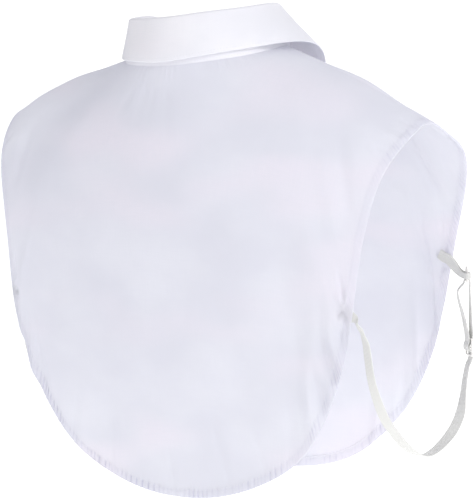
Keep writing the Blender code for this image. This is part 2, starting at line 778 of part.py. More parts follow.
def tab_path():
    """One layer of the tab from inside the front hem to the ring, round its wire and back."""
    ring_along = unit(np.array(RING_ALONG))
    wire = np.array(RING_CENTRE) - ring_along * RING_RADIUS
    clear = SEAT_GAP + ELASTIC_WALL / 2 + TAB_LAYERS / 2
    spots = [inside_hem(turn, down, clear) for turn, down in zip(*TAB_ROOT.values())]
    end = spots[-1][0]
    reach = unit((wire - end) * [1, 1, 0])
    side = np.cross(reach, [0, 0, 1])
    rows = []
    for k, (point, facing) in enumerate(spots):
        ahead = spots[min(k + 1, 2)][0] - spots[max(k - 1, 0)][0]
        rows.append((point, facing, unit(np.cross(facing, ahead)), ELASTIC_WIDTH, TAB_LAYERS / 2))
    for share, drop, wide, span in zip(*TAB_REACH.values()):
        point = end + (wire - end) * [share, share, drop]
        rows.append((point, side, np.array([0.0, 0, 1]), wide, span))
    first = [(*(point + facing * span), *across, wide) for point, facing, across, wide, span in rows]
    last = [(*(point - facing * span), *across, wide) for point, facing, across, wide, span in rows]
    turned = []
    for angle in np.linspace(0, math.pi, 7):
        out = reach * math.sin(angle) + side * math.cos(angle)
        turned.append((*(wire + out * ROUND_WIRE), 0, 0, 1, ELASTIC_AT_RING))
    return np.array(first + turned + last[::-1])


def ring_mesh(name):
    """A round wire ring standing on edge."""
    along, up = unit(np.array(RING_ALONG)), np.array([0.0, 0.0, 1.0])
    thick = np.cross(along, up)
    steps, sides = 28, 8
    vertices = []
    for a in np.arange(steps) * 2 * math.pi / steps:
        out = along * math.cos(a) + up * math.sin(a)
        for b in np.arange(sides) * 2 * math.pi / sides:
            wire = out * (RING_RADIUS + RING_WIRE * math.cos(b)) + thick * RING_WIRE * math.sin(b)
            vertices.append(np.array(RING_CENTRE) + wire)
    faces = []
    for i in range(steps):
        for j in range(sides):
            k, m = (i + 1) % steps, (j + 1) % sides
            faces.append((i * sides + j, k * sides + j, k * sides + m, i * sides + m))
    return mesh_from(name, vertices, faces)


def slider_mesh(name):
    """A flat frame with a middle bar, its two windows open."""
    half_length, half_width, bar = SLIDER_LENGTH / 2, SLIDER_WIDTH / 2, SLIDER_BAR
    places = [-half_length, bar - half_length, -bar / 2, bar / 2, half_length - bar, half_length]
    sides = [-half_width, bar - half_width, half_width - bar, half_width]
    length, width, thick = slider_frame()
    vertices = []
    for height in (-SLIDER_WALL / 2, SLIDER_WALL / 2):
        for place in places:
            for side in sides:
                vertices.append(np.array(SLIDER_CENTRE) + length * place + width * side + thick * height)
    faces, seen = [], {}
    top = len(places) * len(sides)
    for i in range(len(places) - 1):
        for j in range(len(sides) - 1):
            if j == 1 and i in (1, 3):
                continue
            a = i * len(sides) + j
            ring = (a, a + 1, a + 1 + len(sides), a + len(sides))
            faces.append(ring)
            faces.append(tuple(top + k for k in ring[::-1]))
            for pair in zip(ring, ring[1:] + ring[:1]):
                seen[frozenset(pair)] = seen.get(frozenset(pair), 0) + 1
    for pair, times in seen.items():
        if times == 1:
            a, b = pair
            faces.append((a, b, top + b, top + a))
    return mesh_from(name, vertices, faces)


def mirrored(mesh):
    for vertex in mesh.vertices:
        vertex.co.x = -vertex.co.x
    mesh.flip_normals()
    return mesh


def build_straps(elastic, plastic, parent):
    """Both sides: the wearer's left as listed, and the right its mirror."""
    for side, inward in HANG_INWARD.items():
        ribbons = []
        routes = (("strap", strap_path(inward), STRAP_STEPS), ("tab", tab_path(), TAB_STEPS))
        for piece, rows, count in routes:
            path = smooth_route(rows, count)
            ribbons.append(ribbon_mesh(f"{side}_{piece}", path[:, :3], path[:, 3:6], path[:, 6]))
        fittings = [slider_mesh(f"{side}_slider"), ring_mesh(f"{side}_ring")]
        if side == "right":
            ribbons = [mirrored(mesh) for mesh in ribbons]
            fittings = [mirrored(mesh) for mesh in fittings]
        for mesh in ribbons:
            add_object(mesh.name, mesh, elastic, parent)
        for mesh in fittings:
            add_object(mesh.name, mesh, plastic, parent)


print("pieces of the half shirt")
for old in list(bpy.data.objects):
    bpy.data.objects.remove(old, do_unlink=True)
holder = bpy.data.objects.new("half_shirt", None)
bpy.context.scene.collection.objects.link(holder)
cotton = new_material("white cotton", (0.86, 0.86, 0.88), 0.85)
pearl = new_material("white button", (0.88, 0.88, 0.86), 0.3)
elastic = new_material("white elastic", (0.80, 0.80, 0.79), 0.8)
plastic = new_material("white plastic", (0.84, 0.84, 0.83), 0.35)
build_panels(cotton, holder)
build_placket(cotton, holder)
build_stand(cotton, holder)
build_leaf(cotton, holder)
build_buttons(pearl, holder)
build_straps(elastic, plastic, holder)
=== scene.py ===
import math

import bmesh
import bpy
import numpy as np
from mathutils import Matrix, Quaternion, Vector


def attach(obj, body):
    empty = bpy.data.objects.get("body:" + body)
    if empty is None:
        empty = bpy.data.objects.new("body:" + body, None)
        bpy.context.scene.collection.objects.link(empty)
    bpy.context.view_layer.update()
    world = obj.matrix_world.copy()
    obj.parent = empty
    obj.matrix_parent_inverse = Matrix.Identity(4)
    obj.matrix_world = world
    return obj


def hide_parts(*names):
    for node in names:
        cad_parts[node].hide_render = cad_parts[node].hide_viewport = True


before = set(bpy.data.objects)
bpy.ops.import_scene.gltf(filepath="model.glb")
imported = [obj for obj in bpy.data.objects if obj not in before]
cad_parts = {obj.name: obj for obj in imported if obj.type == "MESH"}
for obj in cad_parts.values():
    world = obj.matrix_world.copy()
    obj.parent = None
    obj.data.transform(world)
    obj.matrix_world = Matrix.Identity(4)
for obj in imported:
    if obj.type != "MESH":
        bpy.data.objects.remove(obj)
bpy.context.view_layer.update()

# A half shirt of thin white cotton with a stand and leaf collar, closed by a buttoned placket and
# held at the sides by adjustable elastic straps. It keeps the hollow form it has when worn.
# Sizes and tables are in millimetres and degrees; a mesh is made in metres.
# The wearer faces -Y and the wearer's left is +X. Turn runs round the neck from the centre back.
mm = 0.001

print("camera")
camera = {
    "place": (-1097.8, 1861.7, 222.6),
    "lookAt": (-14.5, -14.6, -159.5),
    "roll": -2.5,
    "lens": 193.2,
}


def makeCamera(values):
    eye = bpy.data.objects.new("camera", bpy.data.cameras.new("camera"))
    bpy.context.scene.collection.objects.link(eye)
    eye.data.lens = values["lens"]
    eye.location = Vector(values["place"]) * mm
    looking = (Vector(values["lookAt"]) - Vector(values["place"])).to_track_quat("-Z", "Y")
    eye.rotation_mode = "QUATERNION"
    eye.rotation_quaternion = looking @ Quaternion((0, 0, 1), math.radians(values["roll"]))
    eye.data.clip_end = 100
    bpy.context.scene.camera = eye


makeCamera(camera)

print("pattern of the shirt")
shirt = {
    "neckHalfWidth": 66.0,
    "neckHalfDepth": 70.0,
    "neckForward": 6.0,
    "seamLean": 3.5,  # the collar sits lower on the wearer's left
    "foldLean": 5.5,
    "leafEdgeLean": 5.0,
    "middleWall": 1.2,  # the wall whose middle all the cloth is placed by
    "hemWall": 2.2,
    "seatGap": 0.45,
    "frontLap": 12.0,
    "lapHold": 8.0,
    "lapEase": 22.0,
}


def columns(names, rows):
    return dict(zip(names.split(), np.array(rows, float).T))


neckLine = columns(
    "turn z",
    [(0, 0), (30, 1), (60, 2.4), (90, 4.2), (112, 0.4), (130, -14.2), (150, -35), (165, -48), (180, -54)],
)

# Outer edge, where each rib of cloth from the neck ends
hemEdge = columns(
    "turn x y z",
    [
        (0, 0, 68, -349),
        (10, 44, 67, -343.5),
        (20, 86, 65, -326),
        (30, 117, 63, -299),
        (40, 142, 64, -252),
        (50, 156, 63, -204),
        (60, 163, 58, -152),
        (70, 172, 49, -104),
        (78, 180, 35, -77),
        (84, 187, 14, -60),
        (90, 192, -13, -50),
        (96, 193.5, -38, -59),
        (102, 193, -62, -71),
        (108, 191, -80, -83),
        (114, 187, -92, -99),
        (121, 179, -102, -124),
        (128, 170, -107, -152),
        (136, 160, -110, -190),
        (145, 151, -110, -229),
        (153, 137, -110, -270),
        (160, 118, -110, -303),
        (167, 89, -108, -335),
        (174, 49, -106, -358),
        (180, 0, -105, -365),
    ],
)

# How each rib leaves the neck seam, how it comes to the hem, and how far its middle swells
ribLie = columns(
    "turn leaveX leaveY leaveZ arriveX arriveY arriveZ swell",
    [
        (0, 0.00, 0.45, -0.89, 0.00, -0.10, -0.99, 0),
        (20, 0.22, 0.48, -0.85, 0.10, -0.12, -0.98, 0),
        (42, 0.50, 0.48, -0.72, 0.18, -0.16, -0.97, 0),
        (60, 0.74, 0.40, -0.54, 0.30, -0.20, -0.93, 0),
        (76, 0.92, 0.18, -0.35, 0.48, -0.02, -0.88, 0),
        (90, 0.96, 0.00, -0.28, 0.84, -0.02, -0.52, 0),
        (105, 0.90, -0.28, -0.36, 0.78, -0.08, -0.62, 0),
        (120, 0.78, -0.46, -0.44, 0.52, -0.06, -0.85, 4),
        (138, 0.62, -0.60, -0.50, 0.26, 0.04, -0.96, 9),
        (160, 0.30, -0.62, -0.72, 0.12, 0.10, -0.98, 12),
        (180, 0.00, -0.56, -0.83, 0.00, 0.10, -0.99, 13),
    ],
)

# Broad folds, the same on both sides: where each runs, how deep it is pressed in, how wide it is
broadFolds = columns(
    "turn depth width top bottom",
    [
        (16, 1.6, 5.0, 0.50, 0.90),
        (36, 2.4, 4.0, 0.45, 0.86),
        (47, -1.6, 3.5, 0.50, 0.88),
        (70, 1.4, 5.0, 0.25, 0.80),
        (124, 2.0, 5.0, 0.35, 0.85),
        (146, -2.2, 4.0, 0.45, 0.90),
        (154, 2.6, 4.0, 0.40, 0.88),
        (166, -1.6, 4.0, 0.50, 0.90),
    ],
)


def closedCurve(table, column, odd=False):
    """Smooth function of turn through one column, mirrored about both centre lines."""
    turns, values = table["turn"], table[column]
    inner = slice(1, len(turns) - 1 if turns[-1] == 180 else len(turns))
    sign = -1 if odd else 1
    knots = np.concatenate([turns, 360 - turns[inner][::-1]])
    heights = np.concatenate([values, sign * values[inner][::-1]])
    count = len(knots)
    spans = np.diff(np.append(knots, 360.0))
    steps = np.diff(np.append(heights, heights[0])) / spans
    matrix = np.zeros((count, count))
    for k in range(count):
        matrix[k, k - 1] += spans[k - 1]
        matrix[k, k] += 2 * (spans[k - 1] + spans[k])
        matrix[k, (k + 1) % count] += spans[k]
    bends = np.linalg.solve(matrix, 6 * (steps - np.roll(steps, 1)))

    def at(turn):
        wrapped = np.mod(turn, 360)
        k = np.clip(np.searchsorted(knots, wrapped, side="right") - 1, 0, count - 1)
        after = (k + 1) % count
        u = (wrapped - knots[k]) / spans[k]
        w = 1 - u
        line = w * heights[k] + u * heights[after]
        return line + ((w**3 - w) * bends[k] + (u**3 - u) * bends[after]) * spans[k] ** 2 / 6

    return at


neckHeight = closedCurve(neckLine, "z")
hemCurves = [closedCurve(hemEdge, "x", odd=True)] + [closedCurve(hemEdge, c) for c in "yz"]
leaveCurves = [closedCurve(ribLie, "leaveX", odd=True)]
leaveCurves += [closedCurve(ribLie, c) for c in ("leaveY", "leaveZ")]
arriveCurves = [closedCurve(ribLie, "arriveX", odd=True)]
arriveCurves += [closedCurve(ribLie, c) for c in ("arriveY", "arriveZ")]
swellCurve = closedCurve(ribLie, "swell")


def hermite(u, start, leave, end, arrive):
    return (
        start * (2 * u**3 - 3 * u**2 + 1)
        + leave * (u**3 - 2 * u**2 + u)
        + end * (3 * u**2 - 2 * u**3)
        + arrive * (u**3 - u**2)
    )


def smoothStep(value):
    value = np.clip(value, 0, 1)
    return value * value * (3 - 2 * value)


def unit(vectors):
    return vectors / np.linalg.norm(vectors, axis=-1, keepdims=True)


def outward(turn):
    angle = np.radians(turn)
    return np.stack([np.sin(angle), np.cos(angle), np.zeros_like(angle)], -1)


def neckSeam(turn):
    angle = np.radians(turn)
    x = shirt["neckHalfWidth"] * np.sin(angle)
    y = shirt["neckHalfDepth"] * np.cos(angle) - shirt["neckForward"]
    return np.stack([x, y, neckHeight(turn)], -1)


def leaned(points, angle):
    points = points.copy()
    points[..., 2] -= points[..., 0] * np.tan(np.radians(angle))
    return points


def foldDepth(turn, down):
    turn = np.mod(turn, 360)
    side = np.minimum(turn, 360 - turn)
    depth = np.zeros_like(turn + down)
    for middle, deep, width, top, bottom in zip(*broadFolds.values()):
        along = smoothStep((down - top) / 0.25) * smoothStep((bottom + 0.1 - down) / 0.2)
        depth += deep * along * np.exp(-(((side - middle) / width) ** 2))
    return depth


def shirtCloth(turn, down):  # down is 0 at the neck seam and 1 at the hem's edge
    start = neckSeam(turn)
    end = np.stack([curve(turn) for curve in hemCurves], -1)
    length = np.linalg.norm(end - start, axis=-1, keepdims=True)
    leave = unit(np.stack([curve(turn) for curve in leaveCurves], -1)) * length
    arrive = unit(np.stack([curve(turn) for curve in arriveCurves], -1)) * length
    points = hermite(down[..., None], start, leave, end, arrive)
    bump = 16 * swellCurve(turn) * down**2 * (1 - down) ** 2 - foldDepth(turn, down)
    points += outward(turn) * bump[..., None]
    return leaned(points, shirt["seamLean"] * (1 - down) ** 2)


def clothNormals(turn, down):
    around = shirtCloth(turn + 0.4, down) - shirtCloth(turn - 0.4, down)
    along = shirtCloth(turn, down + 0.008) - shirtCloth(turn, down - 0.008)
    return unit(np.cross(around, along))


def turnStep(turn, down, distance):
    ahead = shirtCloth(turn + 0.5, down) - shirtCloth(turn - 0.5, down)
    return distance / np.linalg.norm(ahead, axis=-1)


def turnAtX(nearTurn, down, x):
    turn = np.full_like(down, nearTurn)
    for _ in range(4):
        reach = shirtCloth(turn, down)[..., 0]
        slope = (shirtCloth(turn + 0.5, down) - shirtCloth(turn - 0.5, down))[..., 0]
        turn = turn + (x - reach) / slope
    return turn


def sharePerMm(turn):
    """The share of each rib that 1 mm square to the outer edge takes."""
    edge = np.ones_like(turn)
    along = unit(shirtCloth(turn + 0.5, edge) - shirtCloth(turn - 0.5, edge))
    downRib = (shirtCloth(turn, edge) - shirtCloth(turn, edge - 0.02)) / 0.02
    return 1 / np.linalg.norm(np.cross(downRib, along), axis=-1)


def ribLength(turn):
    down = np.linspace(0, 1, 25)
    points = shirtCloth(np.full_like(down, turn), down)
    return np.linalg.norm(np.diff(points, axis=0), axis=1).sum()


def underLap(x, depth):
    return depth * smoothStep((shirt["frontLap"] + shirt["lapEase"] - x) / (shirt["lapEase"] - shirt["lapHold"]))


def gridNormals(points):
    return unit(np.cross(np.gradient(points, axis=0), np.gradient(points, axis=1)))


print("finishes")
cottonLook = {
    "colour": (0.865, 0.868, 0.905),
    "shade": (0.825, 0.828, 0.872),
    "blush": (0.880, 0.862, 0.905),
    "paintedHemShade": (0.640, 0.630, 0.735),  # painted shade over the turned hem's band, where less light passes, and deeper in its pinched folds
    "threadPitch": 0.32,
    "slubLength": 16.0,
    "through": 0.60,  # the share of light that passes through the cloth
    "roughness": 0.88,
    "sheen": 0.18,
}
collarLook = {
    **cottonLook,
    "colour": (0.945, 0.940, 0.975),
    "shade": (0.880, 0.880, 0.925),
    "blush": (0.940, 0.920, 0.965),
    "through": 0.32,
}
elasticLook = {
    "colour": (0.73, 0.73, 0.715),
    "shade": (0.60, 0.60, 0.585),
    "roughness": 0.62,
    "pick": 1.1,  # distance between the cross threads
}
plasticLook = {"colour": (0.80, 0.79, 0.77), "shade": (0.72, 0.70, 0.68), "roughness": 0.28}
pearlLook = {"colour": (0.90, 0.90, 0.88), "shade": (0.80, 0.82, 0.83), "roughness": 0.18}
threadLook = {"colour": (0.90, 0.90, 0.93), "shade": (0.80, 0.80, 0.84), "roughness": 0.55}


class Nodes:
    """The nodes of one material, placed from left to right as they are made."""

    def __init__(self, name):
        self.material = bpy.data.materials.new(name)
        self.material.use_nodes = True
        self.tree = self.material.node_tree
        self.tree.nodes.clear()
        self.count = 0

    def add(self, kind, **settings):
        node = self.tree.nodes.new(kind)
        node.location = (self.count * 180, 0)
        self.count += 1
        for key, value in settings.items():
            if hasattr(node, key):
                setattr(node, key, value)
            else:
                node.inputs[key].default_value = value
        return node

    def link(self, out, into):
        self.tree.links.new(out, into)
        return into.node


def opaque(colour):
    return (*colour, 1.0)


def mixColours(nodes, factor, first, second):
    """One colour turning into another with a factor; either may be a socket or a plain colour."""
    mix = nodes.add("ShaderNodeMix", data_type="RGBA")
    nodes.link(factor, mix.inputs[0])
    for colour, place in ((first, mix.inputs[6]), (second, mix.inputs[7])):
        if isinstance(colour, tuple):
            place.default_value = opaque(colour)
        else:
            nodes.link(colour, place)
    return mix.outputs[2]


def softRange(nodes, value, low, high):
    """A value brought to 0..1 between two limits, with soft ends."""
    reach = nodes.add("ShaderNodeMapRange", interpolation_type="SMOOTHSTEP")
    nodes.link(value, reach.inputs["Value"])
    reach.inputs["From Min"].default_value = low
    reach.inputs["From Max"].default_value = high
    return reach.outputs["Result"]


def stretchedNoise(nodes, place, scale, detail):
    """Noise with a different grain in each direction."""
    mapping = nodes.add("ShaderNodeMapping")
    mapping.inputs["Scale"].default_value = scale
    nodes.link(place, mapping.inputs["Vector"])
    noise = nodes.add("ShaderNodeTexNoise", Scale=1.0, Detail=detail)
    nodes.link(mapping.outputs["Vector"], noise.inputs["Vector"])
    return noise.outputs["Fac"]


def plainMath(nodes, operation, first, second):
    node = nodes.add("ShaderNodeMath", operation=operation)
    for value, place in ((first, node.inputs[0]), (second, node.inputs[1])):
        if isinstance(value, (int, float)):
            place.default_value = value
        else:
            nodes.link(value, place)
    return node.outputs["Value"]


def weaveHeight(nodes, place, pitch):
    """Warp passing over and under weft, as a height from 0 to 1."""
    parts = nodes.add("ShaderNodeSeparateXYZ")
    nodes.link(place, parts.inputs["Vector"])
    waves = []
    for side in "XY":
        angle = plainMath(nodes, "MULTIPLY", parts.outputs[side], math.pi / (pitch * mm))
        waves.append(plainMath(nodes, "SINE", angle, 0.0))
    crossing = plainMath(nodes, "MULTIPLY", waves[0], waves[1])
    return plainMath(nodes, "ABSOLUTE", crossing, 0.0)


def cottonMaterial(name, values):
    nodes = Nodes(name)
    flat = nodes.add("ShaderNodeUVMap", uv_map="cloth").outputs["UV"]
    place = nodes.add("ShaderNodeTexCoord").outputs["Object"]
    slub = values["slubLength"] * mm
    acrossSlub = stretchedNoise(nodes, flat, (1 / slub, 14 / slub, 1), 2.0)
    alongSlub = stretchedNoise(nodes, flat, (14 / slub, 1 / slub, 1), 2.0)
    cloud = stretchedNoise(nodes, place, (13, 13, 17), 3.0)
    blushCloud = stretchedNoise(nodes, place, (8, 9, 21), 1.0)
    broad = mixColours(nodes, softRange(nodes, cloud, 0.35, 0.68), values["shade"], values["colour"])
    tinted = mixColours(nodes, softRange(nodes, blushCloud, 0.48, 0.74), broad, values["blush"])
    threads = plainMath(nodes, "ADD", acrossSlub, alongSlub)
    uneven = softRange(nodes, threads, 0.7, 1.35)
    plain = mixColours(nodes, plainMath(nodes, "MULTIPLY", uneven, 0.35), tinted, values["shade"])
    # Painted shade: the colour darkens over the turned hem and more in the valleys of its puckers
    paintedHemShade = nodes.add("ShaderNodeAttribute", attribute_name="paintedHemShade").outputs["Fac"]
    colour = mixColours(nodes, paintedHemShade, plain, values["paintedHemShade"])
    weave = weaveHeight(nodes, flat, values["threadPitch"])
    relief = plainMath(nodes, "ADD", plainMath(nodes, "MULTIPLY", threads, 1.2), weave)
    bump = nodes.add("ShaderNodeBump", Strength=0.30, Distance=0.06 * mm)
    nodes.link(relief, bump.inputs["Height"])
    shader = nodes.add("ShaderNodeBsdfPrincipled", Roughness=values["roughness"])
    shader.inputs["Sheen Weight"].default_value = values["sheen"]
    shader.inputs["Sheen Roughness"].default_value = 0.5
    shader.inputs["Specular IOR Level"].default_value = 0.25
    nodes.link(colour, shader.inputs["Base Color"])
    nodes.link(bump.outputs["Normal"], shader.inputs["Normal"])
    glow = nodes.add("ShaderNodeBsdfTranslucent")
    nodes.link(colour, glow.inputs["Color"])
    nodes.link(bump.outputs["Normal"], glow.inputs["Normal"])
    both = nodes.add("ShaderNodeMixShader", Fac=values["through"])
    nodes.link(shader.outputs["BSDF"], both.inputs[1])
    nodes.link(glow.outputs["BSDF"], both.inputs[2])
    finish = nodes.add("ShaderNodeOutputMaterial")
    nodes.link(both.outputs["Shader"], finish.inputs["Surface"])
    return nodes.material


def solidMaterial(name, values, grain, bumpHeight, coat=0.0):
    """A smooth finish whose colour drifts a little between two shades."""
    nodes = Nodes(name)
    place = nodes.add("ShaderNodeTexCoord").outputs["Object"]
    cloud = stretchedNoise(nodes, place, (grain, grain, grain * 1.4), 3.0)
    colour = mixColours(nodes, softRange(nodes, cloud, 0.35, 0.7), values["shade"], values["colour"])
    bump = nodes.add("ShaderNodeBump", Strength=0.4, Distance=bumpHeight * mm)
    nodes.link(cloud, bump.inputs["Height"])
    shader = nodes.add("ShaderNodeBsdfPrincipled", Roughness=values["roughness"])
    shader.inputs["Coat Weight"].default_value = coat
    nodes.link(colour, shader.inputs["Base Color"])
    nodes.link(bump.outputs["Normal"], shader.inputs["Normal"])
    finish = nodes.add("ShaderNodeOutputMaterial")
    nodes.link(shader.outputs["BSDF"], finish.inputs["Surface"])
    return nodes.material


def elasticMaterial(name, values):
    """Knitted elastic: cords along it are in the mesh, and here are the cross threads."""
    nodes = Nodes(name)
    flat = nodes.add("ShaderNodeUVMap", uv_map="cloth").outputs["UV"]
    parts = nodes.add("ShaderNodeSeparateXYZ")
    nodes.link(flat, parts.inputs["Vector"])
    speckle = stretchedNoise(nodes, flat, (1400, 900, 1), 2.0)
    angle = plainMath(nodes, "MULTIPLY", parts.outputs["Y"], 2 * math.pi / (values["pick"] * mm))
    picks = plainMath(nodes, "SINE", plainMath(nodes, "ADD", angle, plainMath(nodes, "MULTIPLY", speckle, 2.5)), 0.0)
    height = plainMath(nodes, "ADD", picks, plainMath(nodes, "MULTIPLY", speckle, 1.5))
    # The colour is painted darker in the low grooves between the cross threads, as shade there, and it also drifts at
    # random with the speckle
    tone = softRange(nodes, height, -0.6, 1.9)
    colour = mixColours(nodes, tone, values["shade"], values["colour"])
    bump = nodes.add("ShaderNodeBump", Strength=0.7, Distance=0.12 * mm)
    nodes.link(height, bump.inputs["Height"])
    shader = nodes.add("ShaderNodeBsdfPrincipled", Roughness=values["roughness"])
    shader.inputs["Sheen Weight"].default_value = 0.15
    nodes.link(colour, shader.inputs["Base Color"])
    nodes.link(bump.outputs["Normal"], shader.inputs["Normal"])
    finish = nodes.add("ShaderNodeOutputMaterial")
    nodes.link(shader.outputs["BSDF"], finish.inputs["Surface"])
    return nodes.material


cotton = cottonMaterial("white cotton poplin", cottonLook)
collarCotton = cottonMaterial("interlined cotton poplin", collarLook)
elasticFinish = elasticMaterial("white knitted elastic", elasticLook)
plastic = solidMaterial("white nylon", plasticLook, 260, 0.02)
pearl = solidMaterial("pearly button", pearlLook, 320, 0.01, coat=0.5)
thread = solidMaterial("sewing thread", threadLook, 2600, 0.05)


def finishedObject(name, mesh, material):
    """A mesh in place becomes a piece that rides with the shirt."""
    if material:
        mesh.materials.append(material)
    mesh.shade_smooth()
    mesh.set_sharp_from_angle(angle=math.radians(50))
    piece = bpy.data.objects.new(name, mesh)
    bpy.context.scene.collection.objects.link(piece)
    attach(piece, "root")
    return piece


def solidMesh(name, vertices, faces, flat=None, paintedHemShade=None):
    """A closed mesh in metres with its faces out, and its flat cloth as a UV map."""
    mesh = bpy.data.meshes.new(name)
    mesh.from_pydata((np.asarray(vertices) * mm).tolist(), [], faces)
    form = bmesh.new()
    form.from_mesh(mesh)
    bmesh.ops.recalc_face_normals(form, faces=form.faces)
    form.to_mesh(mesh)
    form.free()
    if flat is not None:
        layer = mesh.uv_layers.new(name="cloth")
        corner = np.empty(len(mesh.loops), np.int32)
        mesh.loops.foreach_get("vertex_index", corner)
        layer.data.foreach_set("uv", (np.asarray(flat)[corner] * mm).astype(np.float32).ravel())
    # the painted shade of the turned hem and its puckers, kept as a point attribute
    if paintedHemShade is not None:
        mesh.attributes.new("paintedHemShade", "FLOAT", "POINT").data.foreach_set("value", paintedHemShade.astype(np.float32))
    return mesh


def shellMesh(name, outer, inner, flat):
    """A closed wall between two grids of points of the same size."""
    rows, cols = outer.shape[:2]
    number = np.arange(rows * cols).reshape(rows, cols)
    quads = np.stack([number[:-1, :-1], number[1:, :-1], number[1:, 1:], number[:-1, 1:]], -1).reshape(-1, 4)
    under = rows * cols
    rim = np.concatenate([number[:, 0], number[-1, 1:], number[-2::-1, -1], number[0, -2:0:-1]])
    ahead = np.roll(rim, -1)
    edge = np.stack([rim, rim + under, ahead + under, ahead], -1)
    faces = np.concatenate([quads, quads[:, ::-1] + under, edge]).tolist()
    vertices = np.concatenate([outer.reshape(-1, 3), inner.reshape(-1, 3)])
    return solidMesh(name, vertices, faces, np.concatenate([flat.reshape(-1, 2)] * 2))


def twoZoneMesh(name, outer, inner, flat, paintedHemShade, coarseRows, ratio):
    """As shellMesh, but the first rows use only one column in ratio, so the hem can be finer."""
    cols, rows = outer.shape[:2]
    coarse = np.arange(0, cols, ratio)
    number = -np.ones((cols, rows), int)
    number[np.ix_(coarse, np.arange(coarseRows))] = np.arange(len(coarse) * coarseRows).reshape(len(coarse), -1)
    number[:, coarseRows:] = len(coarse) * coarseRows + np.arange(cols * (rows - coarseRows)).reshape(cols, -1)
    used = number >= 0
    order = np.argsort(number[used])
    under = int(used.sum())
    faces = []
    for i, k in zip(coarse[:-1], coarse[1:]):
        for j in range(coarseRows - 1):
            faces.append([number[i, j], number[k, j], number[k, j + 1], number[i, j + 1]])
        last = coarseRows - 1
        faces.append([number[i, last], number[k, last], *number[i : k + 1, coarseRows][::-1]])
    for i in range(cols - 1):
        for j in range(coarseRows, rows - 1):
            faces.append([number[i, j], number[i + 1, j], number[i + 1, j + 1], number[i, j + 1]])
    rim = np.concatenate([number[0], number[1:, -1], number[-1, -2::-1], number[coarse[-2:0:-1], 0]])
    ahead = np.roll(rim, -1)
    faces = [[int(v) for v in face] for face in faces]
    back = [[v + under for v in face[::-1]] for face in faces]
    edge = np.stack([rim, rim + under, ahead + under, ahead], -1).tolist()
    vertices = np.concatenate([outer[used][order], inner[used][order]])
    both = [np.concatenate([values[used][order]] * 2) for values in (flat, paintedHemShade)]
    return solidMesh(name, vertices, faces + back + edge, *both)


print("panels")
panel = {
    "outside": 0.50,  # from the middle of the wall to the cloth's outer and inner face
    "inside": 0.10,
    "hemInside": 1.20,
    "underStand": 1.5,
    "seamGap": 0.06,
    "bodyRows": 84,
    "fineRatio": 4,
    "hemFolded": 8.0,
    "stitchFromEdge": 6.8,
    "backColumns": 230,
    "frontColumns": 136,
    "puckerLength": 4.6,
    "puckerSlant": 0.16,
    "neckPuckerDepth": 0.55,
    "neckPuckerLength": 5.5,
    "hemShade": 0.10,  # how much painted shade darkens the turned hem, and its pinched folds
    "pinchShade": 1.05,
    "waveHeight": 0.80,  # of the long shallow waves
}
# How deep the hem's puckers are round each panel
backPuckers = columns(
    "turn depth",
    [(-90, 0.2), (-84, 0.4), (-77, 0.3), (-70, 0.06), (-55, 0.05), (-50, 0.5), (-40, 0.9), (-25, 1.3)]
    + [(0, 1.3), (25, 1.4), (42, 1.0), (52, 0.3), (60, 0.1), (75, 0.3), (90, 0.2)],
)
frontPuckers = columns(
    "turn depth",
    [(90, 0.2), (105, 0.4), (120, 0.45), (136, 0.7), (150, 0.8), (166, 1.4), (180, 0.3)],
)
# Distances from the hem's edge of the fine rows
hemRows = [17.5, 16, 14.6, 13.3, 12.1, 11.0, 10.0, 9.2, 8.5, 7.95, 7.4, 6.8, 6.2, 5.2, 4.0, 2.8, 1.8]
hemRows += [1.0, 0.5, 0.15, 0.0]
